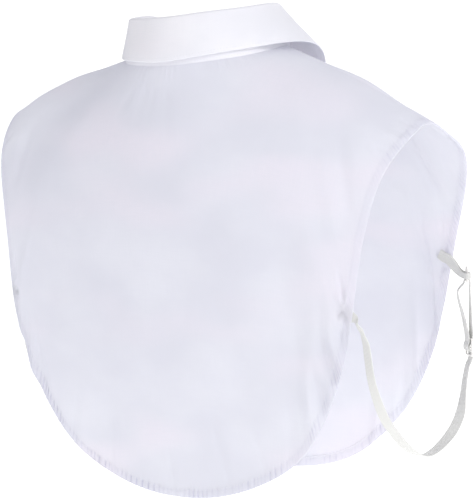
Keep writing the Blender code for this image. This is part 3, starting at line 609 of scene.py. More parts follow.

# Creases listed one by one: from turn and down, to turn and down, width, depth pressed in
backCreases = [
    (-50.5, 0.93, -46.5, 0.88, 2.2, 1.9),
    (-50.0, 0.94, -44.5, 0.94, 2.0, 1.5),
    (-50.6, 0.95, -46.5, 1.00, 2.0, 1.7),
    (-50.8, 0.93, -50.0, 0.84, 2.4, -1.6),
    (-51.0, 0.92, -54.5, 0.85, 2.2, 1.5),
    (-51.5, 0.94, -56.0, 0.93, 2.0, -1.3),
    (50.5, 0.93, 46.5, 0.88, 2.4, 1.7),
    (50.6, 0.95, 46.0, 0.99, 2.0, 1.5),
    (51.0, 0.92, 55.0, 0.86, 2.2, 1.3),
    (50.8, 0.93, 49.5, 0.84, 2.6, -1.5),
    (-46.5, 1.08, -45.6, 0.84, 4.5, 2.8),
    (-43.8, 1.08, -42.6, 0.80, 4.0, -2.4),
    (-41.2, 1.08, -40.6, 0.84, 4.2, 2.6),
    (-38.6, 1.08, -37.6, 0.80, 4.5, -2.2),
    (-35.4, 1.08, -36.0, 0.82, 5.0, 2.4),
    (-31.0, 1.06, -34.0, 0.80, 5.0, -1.6),
    (-36.0, 0.99, -45.0, 0.74, 5.5, 2.4),
    (-30.0, 1.00, -38.5, 0.74, 5.0, -2.0),
    (-24.0, 1.02, -28.0, 0.80, 5.0, 1.4),
    (44.0, 1.06, 43.0, 0.84, 4.5, 2.0),
    (39.0, 1.06, 40.0, 0.84, 4.5, -1.8),
    (34.0, 0.99, 43.0, 0.78, 5.0, 2.0),
    (-62.0, 0.88, -74.0, 0.55, 6.0, 1.8),
    (-56.0, 0.84, -66.0, 0.50, 6.0, -1.4),
    (-79.0, 1.00, -76.0, 0.78, 4.5, 1.6),
    (-83.5, 1.00, -81.0, 0.80, 4.0, -1.4),
    (-87.0, 1.00, -86.0, 0.82, 4.0, 1.4),
    (64.0, 0.85, 74.0, 0.58, 6.0, 1.6),
    (80.0, 1.00, 77.0, 0.80, 4.5, 1.4),
    (-4.0, 0.04, -8.0, 0.24, 5.0, 0.6),
    (3.5, 0.04, 6.5, 0.15, 3.5, 0.5),
    (9.0, 0.04, 14.0, 0.20, 4.5, 0.6),
    (18.0, 0.04, 27.0, 0.17, 4.0, 0.6),
    (-24.0, 0.04, -31.0, 0.18, 4.5, 0.6),
    (14.0, 0.80, 15.5, 1.02, 4.0, 1.3),
    (2.0, 0.86, 1.0, 1.03, 3.5, 1.1),
    (-9.0, 0.82, -10.5, 1.02, 4.0, 1.3),
    (-17.0, 0.86, -18.5, 1.02, 3.6, 1.1),
    (24.0, 0.84, 26.5, 1.02, 4.2, 1.2),
]
frontCreases = [
    (-135.0, 0.94, -141.0, 0.82, 3.0, 2.0),
    (-135.5, 0.93, -130.5, 0.82, 3.0, -1.8),
    (-136.5, 0.96, -142.5, 0.93, 2.6, 1.6),
    (-147.0, 0.99, -139.0, 0.62, 5.5, 3.0),
    (-151.0, 1.00, -146.0, 0.62, 5.0, -2.6),
    (-157.0, 1.00, -151.0, 0.72, 4.6, 2.6),
    (-162.0, 1.02, -159.0, 0.80, 4.6, -2.2),
    (-167.5, 1.02, -166.0, 0.84, 4.2, 2.2),
    (-126.0, 0.92, -121.0, 0.45, 8.0, 3.0),
    (-131.0, 0.88, -128.0, 0.50, 7.0, -2.0),
    (-117.0, 0.60, -129.0, 0.78, 6.0, 2.0),
    (-104.0, 0.97, -99.0, 0.60, 7.0, 2.4),
    (-110.0, 0.97, -107.0, 0.66, 6.0, -1.8),
    (-142.0, 0.60, -150.0, 0.40, 8.0, 1.8),
]


def hemPlace(turns):
    """Distance round the hem at each turn."""
    edge = shirtCloth(turns, np.ones_like(turns))
    return np.append(0, np.cumsum(np.linalg.norm(np.diff(edge, axis=0), axis=1)))


def unevenWave(place, length, seed):
    """A wave from -1 to 1 whose length, height and phase drift along the seam."""
    chance = np.random.default_rng(seed)
    knots = np.arange(place.min() - 40, place.max() + 80, 2.4 * length)
    drift = np.interp(place, knots, chance.uniform(-1, 1, len(knots)))
    height = np.interp(place, knots + 0.7 * length, chance.uniform(0, 1, len(knots)) ** 1.4)
    return 0.12 + 1.05 * height, 2 * math.pi * place / length + 4.6 * drift


def creaseLift(points, creases):
    """How far the creases of a panel move its cloth, outward positive."""
    lift = np.zeros(points.shape[:-1])
    for fromTurn, fromDown, toTurn, toDown, width, depth in creases:
        shares = np.linspace(0, 1, 4)
        turns = fromTurn + (toTurn - fromTurn) * shares
        downs = fromDown + (toDown - fromDown) * shares
        line = shirtCloth(turns, downs)
        nearest = np.full(lift.shape, 1e9)
        fade = np.zeros(lift.shape)
        for k in range(3):
            step = line[k + 1] - line[k]
            along = np.clip(((points - line[k]) @ step) / (step @ step), 0, 1)
            distance = np.linalg.norm(points - line[k] - along[..., None] * step, axis=-1)
            closer = distance < nearest
            nearest = np.where(closer, distance, nearest)
            share = (k + along) / 3
            fade = np.where(closer, smoothStep(share / 0.18) * smoothStep((1.0 - share) / 0.55), fade)
        lift -= depth * fade * np.exp(-((nearest / width) ** 2))
    return lift


def softUnevenness(points, height):
    """Long shallow waves that keep the cloth from looking pressed."""
    x, y, z = (points[..., k] for k in range(3))
    waves = np.sin(x / 17.0 + 1.3 * np.sin(z / 41.0)) * np.sin(z / 31.0 + 0.6 + x / 90.0)
    waves += 0.6 * np.sin(x / 9.5 + z / 27.0 + 2.0) * np.sin(z / 19.0 - x / 33.0)
    waves += 0.5 * np.sin(y / 14.0 + z / 23.0)
    return height * waves


def panelSurface(firstTurn, lastTurn, columnCount, creases, seed, goesUnder=False):
    """The outer and inner face of a panel, and the cloth's flat coordinates."""
    look = panel
    cols = columnCount * look["fineRatio"] + 1
    spread = np.linspace(0, 1, cols)
    half = np.array([0.5])
    middle = firstTurn(half)[0] + spread * (lastTurn(half)[0] - firstTurn(half)[0])
    perMm = sharePerMm(middle)
    fine = 1 - perMm[:, None] * np.array(hemRows)
    start = -look["underStand"] / ribLength(middle[cols // 2])
    body = start + (fine[:, :1] - start) * np.linspace(0, 1, look["bodyRows"] + 1)[:-1]
    down = np.concatenate([body, fine], 1)
    first, last = firstTurn(down[0]), lastTurn(down[-1])
    turns = first + spread[:, None] * (last - first)
    points = shirtCloth(turns, down)
    normals = clothNormals(turns, down)
    if goesUnder:
        depth = shirt["middleWall"] + shirt["seatGap"]
        depth = depth + (shirt["hemWall"] - shirt["middleWall"]) * smoothStep((down - 0.88) / 0.06)
        points = points - normals * underLap(points[..., 0], depth)[..., None]
    fromEdge = (1 - down) / perMm[:, None]
    lift = creaseLift(points, creases)
    lift += softUnevenness(points, look["waveHeight"]) * smoothStep(down / 0.08) * smoothStep(fromEdge / 25)
    place = hemPlace(middle)[:, None]
    height, angle = unevenWave(place, look["puckerLength"], seed)
    window = smoothStep((fromEdge + 3.5) / 6) * smoothStep((12.5 - fromEdge) / 7)
    if abs(middle[cols // 2]) < 90:
        deep = np.interp(middle, *backPuckers.values())
    else:
        deep = np.interp(abs(middle), *frontPuckers.values())
    pinched = 0.65 - abs(np.sin((angle + look["puckerSlant"] * fromEdge) / 2)) ** 0.7
    lift -= deep[:, None] * height * window * pinched
    # Painted shade: the hem band is darkened, and more so in the valleys of the puckers
    valley = np.clip(pinched / 0.65, 0, 1) * height * np.clip(deep, 0, 1)[:, None]
    shade = np.clip(look["hemShade"] + look["pinchShade"] * valley, 0, 1)
    paintedHemShade = smoothStep((look["stitchFromEdge"] + 1.5 - fromEdge) / 2) * shade
    around = np.radians(turns) * shirt["neckHalfWidth"]
    height, angle = unevenWave(around, look["neckPuckerLength"], seed + 1)
    fromNeck = down * ribLength(middle[cols // 2])
    window = smoothStep((fromNeck + 1) / 4) * np.exp(-np.clip(fromNeck, 0, None) / 9)
    lift += look["neckPuckerDepth"] * height * window * np.sin(angle)
    if goesUnder:
        lift = lift * smoothStep((points[..., 0] - 30) / 12)
    elif lastTurn(half)[0] < 0 and firstTurn(half)[0] < -170:
        lift = lift * smoothStep((-points[..., 0] - 16) / 14)
    points = points + normals * lift[..., None]
    folded = smoothStep((look["hemFolded"] + 0.5 - fromEdge) / 0.5)
    nearStitch = np.exp(-(((fromEdge - look["stitchFromEdge"]) / 0.7) ** 2))
    roll = 0.12 * folded * np.sin(np.clip(fromEdge / look["stitchFromEdge"], 0, 1) * math.pi)
    out = look["outside"] + roll - 0.16 * nearStitch
    within = look["inside"] + (look["hemInside"] - look["inside"]) * folded + roll - 0.3 * nearStitch
    middleDepth, halfDepth = (out - within) / 2, (out + within) / 2
    rounding = np.sqrt(np.clip(1 - ((0.75 - np.clip(fromEdge, 0, 0.75)) / 0.75) ** 2, 0.02, 1))
    outer = points + normals * (middleDepth + halfDepth * rounding)[..., None]
    inner = points + normals * (middleDepth - halfDepth * rounding)[..., None]
    side = 1.0 if abs(middle[cols // 2]) < 90 else -1.0
    flat = np.stack([points[..., 0], side * points[..., 1] - points[..., 2]], -1)
    return outer, inner, flat, paintedHemShade


def shoulderEdge(turn, side):
    def at(down):
        return turn + side * turnStep(np.full_like(down, turn), down, panel["seamGap"] / 2)

    return at


def frontEdge(nearTurn, x):
    def at(down):
        return turnAtX(nearTurn, down, x)

    return at


stitchRow = panel["bodyRows"] + hemRows.index(panel["stitchFromEdge"])
seamLines = {}


def makePanel(name, firstTurn, lastTurn, columnCount, creases, seed, goesUnder=False):
    outer, inner, flat, paintedHemShade = panelSurface(firstTurn, lastTurn, columnCount, creases, seed, goesUnder)
    mesh = twoZoneMesh(name, outer, inner, flat, paintedHemShade, panel["bodyRows"], panel["fineRatio"])
    piece = finishedObject(f"{name}_cloth", mesh, cotton)
    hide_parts(name)
    seamLines[name] = [outer[4:-4, stitchRow], inner[4:-4, stitchRow]]
    return outer, inner


backOuter, backInner = makePanel(
    "back", shoulderEdge(-90, 1), shoulderEdge(90, -1), panel["backColumns"], backCreases, 11
)
makePanel(
    "front_right",
    frontEdge(-180, shirt["frontLap"]),
    shoulderEdge(-90, -1),
    panel["frontColumns"],
    frontCreases,
    21,
)
makePanel(
    "front_left",
    shoulderEdge(90, 1),
    frontEdge(180, -shirt["frontLap"]),
    panel["frontColumns"],
    [(-a, b, -c, d, e, 0.8 * f) for a, b, c, d, e, f in frontCreases],
    31,
    goesUnder=True,
)

print("placket")
placketLook = {"width": 26.0, "gap": 0.3, "columns": 27, "rows": 260, "stitchFromEdge": 5.0, "half": 0.45}


def placketPoints(cols, rows):
    lift = shirt["middleWall"] + placketLook["gap"]
    length = ribLength(180)
    down = np.linspace(4.0 / length, 1 - 1.0 / length, rows)
    edges = [turnAtX(180, down, x) for x in (shirt["frontLap"], shirt["frontLap"] - placketLook["width"])]
    turns = np.stack([edges[0] + u * (edges[1] - edges[0]) for u in np.linspace(0, 1, cols)])
    down = np.broadcast_to(down, turns.shape)
    normals = clothNormals(turns, down)
    return shirtCloth(turns, down) + normals * lift, normals


def makePlacket():
    look = placketLook
    points, normals = placketPoints(look["columns"], look["rows"])
    across = np.linspace(0, look["width"], look["columns"])[:, None]
    fromEdge = np.minimum(across, look["width"] - across)
    place = np.linspace(0, ribLength(180), look["rows"])[None]
    height, angle = unevenWave(place, 6.5, 41)
    nearStitch = np.exp(-(((fromEdge - look["stitchFromEdge"]) / 1.2) ** 2))
    lift = 0.14 * height * nearStitch * np.sin(angle) - 0.12 * nearStitch
    rounding = np.sqrt(np.clip(1 - ((1 - np.clip(fromEdge, 0, 1)) ** 2), 0.03, 1))
    points = points + normals * lift[..., None]
    outer = points + normals * (look["half"] * rounding)[..., None]
    inner = points - normals * (look["half"] * rounding)[..., None]
    flat = np.stack([points[..., 0], -points[..., 1] - points[..., 2]], -1)
    piece = finishedObject("placket_cloth", shellMesh("placket", outer, inner, flat), collarCotton)
    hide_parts("placket")
    step = int(look["stitchFromEdge"])
    seamLines["placket"] = [outer[step, 3:-3], outer[-1 - step, 3:-3]]


makePlacket()

print("collar")
collar = {
    "leanIn": 8.0,
    "lap": 12.0,
    "wall": 1.8,
    "cloth": 1.3,  # thickness shown
    "foldRadius": 1.8,
    "endTurn": 177.0,
    "standColumns": 420,
    "standRows": 18,
    "leafColumns": 420,
    "foldRows": 11,
    "fallRows": 42,
    "edgeStitch": 3.0,
}
standTable = columns(
    "turn height",
    [(0, 35.5), (30, 35), (60, 33.1), (90, 30.8), (112, 29), (140, 28.3), (180, 29.5)],
)
leafTable = columns(
    "turn edgeShift fall flare bow",
    [
        (0, 0, 36.5, 7, 0),
        (30, 0, 35, 7, 0),
        (57, 0, 33.8, 7, 0),
        (75, 0, 33.4, 10.5, 0),
        (92, 0, 33.8, 19.5, 0),
        (108, 0, 36, 27, 0),
        (128, -1, 40, 33, 0.5),
        (145, -4, 46, 36, 1.5),
        (162, -12, 55, 40.5, 2),
        (177, -20, 61, 41, 2),
    ],
)
standHeight = closedCurve(standTable, "height")
leafShift, leafFall, leafFlare, leafBow = (
    closedCurve(leafTable, column) for column in ("edgeShift", "fall", "flare", "bow")
)


def standPoints(turn, up):
    points = neckSeam(turn) - outward(turn) * (collar["leanIn"] * up)[..., None]
    points[..., 2] += standHeight(turn) * up
    return points


def makeStand():
    look = collar
    reach = 180 + math.degrees(math.asin(look["lap"] / shirt["neckHalfWidth"]))
    ups = np.concatenate([[0, 0.01, 0.03], np.linspace(0.06, 1, look["standRows"])])
    turns, up = np.meshgrid(np.linspace(-reach, reach, look["standColumns"]), ups, indexing="ij")
    points = standPoints(turns, up)
    under = np.where(turns > 90, underLap(points[..., 0], look["wall"] + shirt["seatGap"]), 0)
    points = leaned(points, shirt["seamLean"] + (shirt["foldLean"] - shirt["seamLean"]) * up)
    slope = [curve(turns) for curve in leaveCurves]
    slope = slope[2] / np.hypot(slope[0], slope[1])
    lift = (shirt["middleWall"] / 2 + 0.1) * np.hypot(1, slope)
    fromEdge = up * standHeight(turns)
    place = np.radians(turns) * shirt["neckHalfWidth"]
    height, angle = unevenWave(place, 5.5, 51)
    nearStitch = np.exp(-(((fromEdge - 2.4) / 1.6) ** 2))
    ripple = 0.12 * height * nearStitch * np.sin(angle) - 0.15 * nearStitch
    rounding = np.sqrt(np.clip(1 - ((0.65 - np.clip(fromEdge, 0, 0.65)) / 0.65) ** 2, 0.04, 1))
    skins = []
    for side in (1, -1):
        away = side * look["cloth"] / 2 * rounding + ripple - under
        skin = points + outward(turns) * away[..., None]
        skin[..., 2] += (lift + slope * away) * (1 - up)
        skins.append(skin)
    flat = np.stack([place, -fromEdge], -1)
    piece = finishedObject("collar_stand_cloth", shellMesh("stand", *skins, flat), collarCotton)
    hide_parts("collar_stand")
    row = int(np.argmin(abs(ups * 32 - 2.4)))
    seamLines["collar_stand"] = [skins[0][6:-6, row], skins[1][6:-6, row]]


def leafPoints(cols, foldRows, falls):
    turns = np.linspace(-collar["endTurn"], collar["endTurn"], cols)
    top = standPoints(turns, np.ones_like(turns))
    up = np.array([0.0, 0.0, 1.0])
    radius = collar["foldRadius"]
    foldBase = collar["wall"] / 2 + placketLook["gap"]
    rows = [leaned(top + up * placketLook["gap"], shirt["foldLean"])]
    for angle in np.linspace(math.pi, 0, foldRows):
        reach = radius * (1 + math.cos(angle))
        rise = foldBase + radius * math.sin(angle)
        rows.append(leaned(top + outward(turns) * reach + up * rise, shirt["foldLean"]))
    fullDrop = leafFall(turns) - foldBase - radius - collar["wall"] / 2
    for share in falls:
        shifted = turns + np.sign(turns) * leafShift(turns) * share
        row = standPoints(shifted, np.ones_like(turns))
        reach = 2 * radius + leafFlare(turns) * share + 4 * leafBow(turns) * share * (1 - share)
        row += outward(shifted) * reach[:, None]
        row[:, 2] = top[:, 2] + foldBase - fullDrop * share
        rows.append(leaned(row, shirt["foldLean"] + (shirt["leafEdgeLean"] - shirt["foldLean"]) * share))
    return np.stack(rows, 1), turns, fullDrop


def makeLeaf():
    look = collar
    falls = np.linspace(0, 1, look["fallRows"] + 1)[1:]
    falls = np.append(falls[:-1], [0.985, 0.993, 0.998, 1.0])
    points, turns, fullDrop = leafPoints(look["leafColumns"], look["foldRows"], falls)
    normals = gridNormals(points)
    share = np.concatenate([np.zeros(look["foldRows"] + 1), falls])
    fromEdge = (1 - share)[None] * fullDrop[:, None]
    sides = np.radians(look["endTurn"] - abs(turns))[:, None] * (shirt["neckHalfWidth"] + 24)
    fromEdge = np.minimum(fromEdge, sides + 0 * fromEdge)
    nearStitch = np.exp(-(((fromEdge - look["edgeStitch"]) / 1.1) ** 2))
    place = np.radians(turns)[:, None] * 80
    height, angle = unevenWave(place, 6.0, 61)
    lift = 0.07 * height * nearStitch * np.sin(angle)
    wave = np.sin(np.radians(turns) * 5.0 + 0.7)[:, None] * np.sin(share * math.pi * 0.9)[None]
    lift += 0.35 * wave * smoothStep(share / 0.3)
    points = points + normals * lift[..., None]
    rounding = np.sqrt(np.clip(1 - ((0.65 - np.clip(fromEdge, 0, 0.65)) / 0.65) ** 2, 0.03, 1))
    half = look["cloth"] / 2 * rounding - 0.1 * nearStitch
    outer, inner = points + normals * half[..., None], points - normals * half[..., None]
    flat = np.stack([place + 0 * share, -share * fullDrop[:, None]], -1)
    piece = finishedObject("collar_leaf_cloth", shellMesh("leaf", outer, inner, flat), collarCotton)
    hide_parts("collar_leaf")
    row = int(np.argmin(abs((1 - share) * 34 - look["edgeStitch"])))
    ends = int(round(look["edgeStitch"] / sides.max() * (look["leafColumns"] - 1) / 2))
    facing = outer if np.mean((outer - points)[200, -6] * outward(turns)[200]) > 0 else inner
    rowsDown = slice(look["foldRows"] + 3, row + 1)
    seamLines["collar_leaf"] = [
        np.concatenate([facing[ends, rowsDown], facing[ends + 1 : -ends - 1, row], facing[-ends - 1, rowsDown][::-1]])
    ]


makeStand()
makeLeaf()

print("stitches")
stitch = {"spacing": 2.5, "length": 1.9, "thickness": 0.17, "seed": 7}


def stitchTree():
    """Geometry Nodes that lay a row of stitches along the edges of a mesh."""
    tree = bpy.data.node_groups.new("row of stitches", "GeometryNodeTree")
    sockets = {}
    kinds = {
        "Seam line": "NodeSocketGeometry",
        "Spacing": "NodeSocketFloat",
        "Stitch length": "NodeSocketFloat",
        "Thread radius": "NodeSocketFloat",
        "Seed": "NodeSocketInt",
        "Thread": "NodeSocketMaterial",
    }
    for name, kind in kinds.items():
        sockets[name] = tree.interface.new_socket(name, in_out="INPUT", socket_type=kind).identifier
    tree.interface.new_socket("Stitches", in_out="OUTPUT", socket_type="NodeSocketGeometry")
    given = tree.nodes.new("NodeGroupInput")
    line = tree.nodes.new("GeometryNodeMeshToCurve")
    spaced = tree.nodes.new("GeometryNodeResampleCurve")
    spaced.mode = "LENGTH"
    ball = tree.nodes.new("GeometryNodeMeshUVSphere")
    ball.inputs["Segments"].default_value = 7
    ball.inputs["Rings"].default_value = 5
    ball.inputs["Radius"].default_value = 1.0
    along = tree.nodes.new("GeometryNodeInputTangent")
    turned = tree.nodes.new("FunctionNodeAlignRotationToVector")
    turned.axis = "X"
    uneven = tree.nodes.new("FunctionNodeRandomValue")
    uneven.data_type = "FLOAT"
    uneven.inputs[2].default_value = 0.42
    uneven.inputs[3].default_value = 0.53
    longer = tree.nodes.new("ShaderNodeMath")
    longer.operation = "MULTIPLY"
    size = tree.nodes.new("ShaderNodeCombineXYZ")
    laid = tree.nodes.new("GeometryNodeInstanceOnPoints")
    real = tree.nodes.new("GeometryNodeRealizeInstances")
    painted = tree.nodes.new("GeometryNodeSetMaterial")
    result = tree.nodes.new("NodeGroupOutput")
    pairs = [
        (given.outputs["Seam line"], line.inputs["Mesh"]),
        (line.outputs["Curve"], spaced.inputs["Curve"]),
        (given.outputs["Spacing"], spaced.inputs["Length"]),
        (spaced.outputs["Curve"], laid.inputs["Points"]),
        (ball.outputs["Mesh"], laid.inputs["Instance"]),
        (along.outputs["Tangent"], turned.inputs["Vector"]),
        (turned.outputs["Rotation"], laid.inputs["Rotation"]),
        (given.outputs["Seed"], uneven.inputs["Seed"]),
        (uneven.outputs[1], longer.inputs[0]),
        (given.outputs["Stitch length"], longer.inputs[1]),
        (longer.outputs["Value"], size.inputs["X"]),
        (given.outputs["Thread radius"], size.inputs["Y"]),
        (given.outputs["Thread radius"], size.inputs["Z"]),
        (size.outputs["Vector"], laid.inputs["Scale"]),
        (laid.outputs["Instances"], real.inputs["Geometry"]),
        (real.outputs["Geometry"], painted.inputs["Geometry"]),
        (given.outputs["Thread"], painted.inputs["Material"]),
        (painted.outputs["Geometry"], result.inputs["Stitches"]),
    ]
    for out, into in pairs:
        tree.links.new(out, into)
    for place, node in enumerate(tree.nodes):
        node.location = (place * 170, 0)
    return tree, sockets


stitchNodes, stitchSockets = stitchTree()


def makeStitches(name, lines, spacing=None, length=None, thickness=None):
    """Rows of thread along seam lines, turned into one plain mesh."""
    vertices = np.concatenate(lines) * mm
    edges, start = [], 0
    for line in lines:
        edges += [(start + k, start + k + 1) for k in range(len(line) - 1)]
        start += len(line)
    mesh = bpy.data.meshes.new(name)
    mesh.from_pydata(vertices.tolist(), edges, [])
    guide = bpy.data.objects.new(name, mesh)
    bpy.context.scene.collection.objects.link(guide)
    row = guide.modifiers.new("row of stitches", "NODES")
    row.node_group = stitchNodes
    row[stitchSockets["Spacing"]] = (spacing or stitch["spacing"]) * mm
    row[stitchSockets["Stitch length"]] = (length or stitch["length"]) * mm
    row[stitchSockets["Thread radius"]] = (thickness or stitch["thickness"]) * mm
    row[stitchSockets["Seed"]] = stitch["seed"]
    row[stitchSockets["Thread"]] = thread
    bpy.context.view_layer.update()
    plain = bpy.data.meshes.new_from_object(guide.evaluated_get(bpy.context.evaluated_depsgraph_get()))
    bpy.data.objects.remove(guide)
    return finishedObject(name, plain, None)


for owner, lines in seamLines.items():
    makeStitches(f"{owner}_stitches", lines)

print("straps")
elastic = {
    "width": 8.5,
    "wall": 1.0,
    "atRing": 5.0,
    "roundWire": 2.3,
    "tabLayers": 1.3,
    "longestStep": 6.0,
    "sharpestStep": 16.0,
    "leftHangsCloser": 9.5,
    "cords": 9,
    "cordHeight": 0.16,
}
ring = {"radius": 5.9, "wire": 0.9, "centre": (176.4, -108.2, -188.0), "along": (-0.5, -0.866, 0.0)}
slider = {
    "length": 15.5,
    "width": 12.5,
    "wall": 1.4,
    "bar": 1.4,
    "centre": (176.5, -108.2, -248.8),
    "lengthways": (0.0, 0.0, -1.0),
    "across": (-0.77, -0.64, 0.0),
    "gap": 0.3,
}
strapRoute = columns(
    "x y z acrossX acrossY acrossZ",
    [
        (161.2, 54.5, -204, -0.82, -0.57, 0.09),
        (162.6, 50.5, -214, -0.90, -0.43, 0.05),
        (163.0, 48.2, -227, -0.94, -0.33, 0.05),
        (163.2, 44.6, -244, -0.96, -0.26, 0.07),
        (163.6, 36.8, -262, -1.00, -0.04, -0.03),
        (164.3, 25, -281, -0.98, 0.12, -0.17),
        (165.6, 11, -296, -0.95, 0.16, -0.26),
        (166.9, -3.5, -309, -0.96, 0.09, -0.25),
        (168.7, -21, -320, -1.00, -0.05, -0.08),
        (169.8, -34, -324, -0.99, -0.09, 0.06),
        (171.0, -48, -323.5, -0.99, -0.07, 0.12),
        (172.6, -65, -319, -0.95, 0.02, 0.30),
        (173.9, -79, -312.5, -0.93, 0.16, 0.33),
        (174.4, -91.7, -302, -1.00, 0.06, 0.03),
        (174.0, -98.5, -290, -0.89, -0.43, -0.15),
        (174.2, -103.2, -276, -0.80, -0.60, -0.10),
        (175.3, -106.6, -265, -0.76, -0.65, -0.05),
    ],
)
hangShare = columns("place share", [(0, 0.55), (0.12, 0.8), (0.3, 1), (0.6, 0.9), (0.85, 0.3), (1, 0)])
strandUp = columns(
    "x y z width",
    [(178.0, -109.4, -239, 8.5), (178.1, -109.3, -229, 8.5), (178.2, -109.2, -212, 8), (178.2, -109.2, -200, 6.2)],
)
strandDown = columns(
    "x y z width",
    [(169.6, -104.3, -202, 6.2), (169.9, -104.4, -208, 7.5), (172.2, -105.6, -219, 8.5), (174.2, -106.8, -231, 8.5)],
)
strapRoot = columns("turn down", [(50.6, 0.93), (51.2, 0.955), (51.8, 0.98)])
tabRoot = columns("turn down", [(136.7, 0.895), (135.2, 0.94), (133.8, 0.98)])
tabReach = columns(
    "share drop width halfApart",
    [(0.30, 0.42, 8.0, 0.65), (0.56, 0.80, 6.2, 0.9), (0.80, 0.98, 5.0, 1.9)],
)


def smoothRoute(points, count):
    """Rows on one smooth curve through the given ones, closer where it bends or twists."""
    points = np.asarray(points, float)
    stations = np.append(0, np.cumsum(np.linalg.norm(np.diff(points[:, :3], axis=0), axis=1)))
    slopes = np.gradient(points, stations, axis=0)
    at = np.linspace(0, stations[-1], 40 * count)
    k = np.clip(np.searchsorted(stations, at, side="right") - 1, 0, len(stations) - 2)
    span = (stations[k + 1] - stations[k])[:, None]
    u = ((at - stations[k]) / span[:, 0])[:, None]
    fine = hermite(u, points[k], slopes[k] * span, points[k + 1], slopes[k + 1] * span)
    steps = np.diff(fine[:, :3], axis=0)
    effort = np.linalg.norm(steps, axis=1) / elastic["longestStep"]
    for way in (unit(steps), unit(fine[1:, 3:6])):
        effort[1:] += np.linalg.norm(np.diff(way, axis=0), axis=1) / math.radians(elastic["sharpestStep"])
    effort = np.append(0, np.cumsum(effort))
    chosen = np.linspace(0, effort[-1], count)
    return np.stack([np.interp(chosen, effort, column) for column in fine.T], -1)


def insideHem(turn, down, clear):
    turn, down = np.array([turn]), np.array([down])
    facing = clothNormals(turn, down)[0]
    return shirtCloth(turn, down)[0] - facing * (shirt["hemWall"] - shirt["middleWall"] / 2 + clear), facing


def sliderFrame():
    length, width = np.array(slider["lengthways"]), np.array(slider["across"])
    return length, unit(width), unit(np.cross(length, width))


def strapPath(inward):
    rows = []
    wall, gap = elastic["wall"], slider["gap"]
    spots = [insideHem(turn, down, shirt["seatGap"] + wall) for turn, down in zip(*strapRoot.values())]
    for k, (point, facing) in enumerate(spots):
        ahead = spots[min(k + 1, 2)][0] - spots[max(k - 1, 0)][0]
        rows.append((*point, *np.cross(facing, ahead), elastic["width"]))
    hang = np.stack(list(strapRoute.values()), -1)
    hang[:, 0] -= inward * np.interp(np.linspace(0, 1, len(hang)), *hangShare.values())
    rows += [(*row, elastic["width"]) for row in hang]
    length, width, thick = sliderFrame()
    centre = np.array(slider["centre"])
    side = slider["wall"] / 2 + gap + wall / 2
    far = slider["length"] / 2 - slider["bar"] - 0.4
    for place in np.linspace(slider["length"] / 2, -slider["length"] / 2, 15):
        height = side * (1 - 2 * smoothStep((abs(place) - 0.1) / (far - 0.1)))
        rows.append((*(centre + length * place + thick * height), *width, elastic["width"]))
    ringAlong = unit(np.array(ring["along"]))
    turning = [unit(width + (ringAlong - width) * share) for share in (0.1, 0.35, 0.7, 1.0)]
    rows += [(x, y, z, *a, wide) for a, (x, y, z, wide) in zip(turning, zip(*strandUp.values()))]
    wire = np.array(ring["centre"]) - np.array([0, 0, ring["radius"]])
    through = np.cross(ringAlong, [0, 0, 1])
    for angle in np.linspace(math.pi, 0, 9):
        out = through * math.cos(angle) + np.array([0, 0, math.sin(angle)])
        rows.append((*(wire + out * elastic["roundWire"]), *ringAlong, elastic["atRing"]))
    turning = turning[::-1]
    rows += [(x, y, z, *a, wide) for a, (x, y, z, wide) in zip(turning, zip(*strandDown.values()))]
    over = side + gap + wall
    half = slider["length"] / 2
    for place, share in ((-half, 0), (-4.5, 0.08), (-1.5, 1), (2.5, 1)):
        point = centre + length * place + thick * (side + (over - side) * share)
        rows.append((*point, *width, elastic["width"]))
    return np.array(rows)


def tabPath():
    ringAlong = unit(np.array(ring["along"]))
    wire = np.array(ring["centre"]) - ringAlong * ring["radius"]
    clear = shirt["seatGap"] + elastic["wall"] / 2 + elastic["tabLayers"] / 2
    spots = [insideHem(turn, down, clear) for turn, down in zip(*tabRoot.values())]
    end = spots[-1][0]
    reach = unit((wire - end) * [1, 1, 0])
    side = np.cross(reach, [0, 0, 1])
    rows = []
    for k, (point, facing) in enumerate(spots):
        ahead = spots[min(k + 1, 2)][0] - spots[max(k - 1, 0)][0]
        across = unit(np.cross(facing, ahead))
        rows.append((point, facing, across, elastic["width"], elastic["tabLayers"] / 2))
    for share, drop, wide, span in zip(*tabReach.values()):
        rows.append((end + (wire - end) * [share, share, drop], side, np.array([0.0, 0, 1]), wide, span))
    first = [(*(point + facing * span), *across, wide) for point, facing, across, wide, span in rows]
    last = [(*(point - facing * span), *across, wide) for point, facing, across, wide, span in rows]
    turned = []
    for angle in np.linspace(0, math.pi, 7):
        out = reach * math.sin(angle) + side * math.cos(angle)
        turned.append((*(wire + out * elastic["roundWire"]), 0, 0, 1, elastic["atRing"]))
    return np.array(first + turned + last[::-1])


def ribbedRibbon(name, path):
    """A flat elastic along a route, its face ribbed by the cords that run along it."""
    route, across, widths = path[:, :3], path[:, 3:6], path[:, 6]
    along = unit(np.gradient(route, axis=0))
    across = unit(across - along * (across * along).sum(-1, keepdims=True))
    facing = np.cross(along, across)
    sides = np.linspace(-1, 1, elastic["cords"] * 4 + 1)
    ribs = elastic["cordHeight"] * (np.abs(np.sin((sides + 1) / 2 * elastic["cords"] * math.pi)) - 1)
    edge = np.sqrt(np.clip(1 - np.clip((abs(sides) - 0.9) / 0.1, 0, 1) ** 2, 0.05, 1))
    thick = (elastic["wall"] / 2 + ribs) * edge
    middle = route[:, None] + across[:, None] * (sides[None, :, None] * widths[:, None, None] / 2)
    outer = middle + facing[:, None] * thick[None, :, None]
    inner = middle - facing[:, None] * thick[None, :, None]
    run = np.append(0, np.cumsum(np.linalg.norm(np.diff(route, axis=0), axis=1)))
    flat = np.stack(np.broadcast_arrays(sides[None] * elastic["width"] / 2, run[:, None]), -1)
    return outer, inner, flat, run[-1]


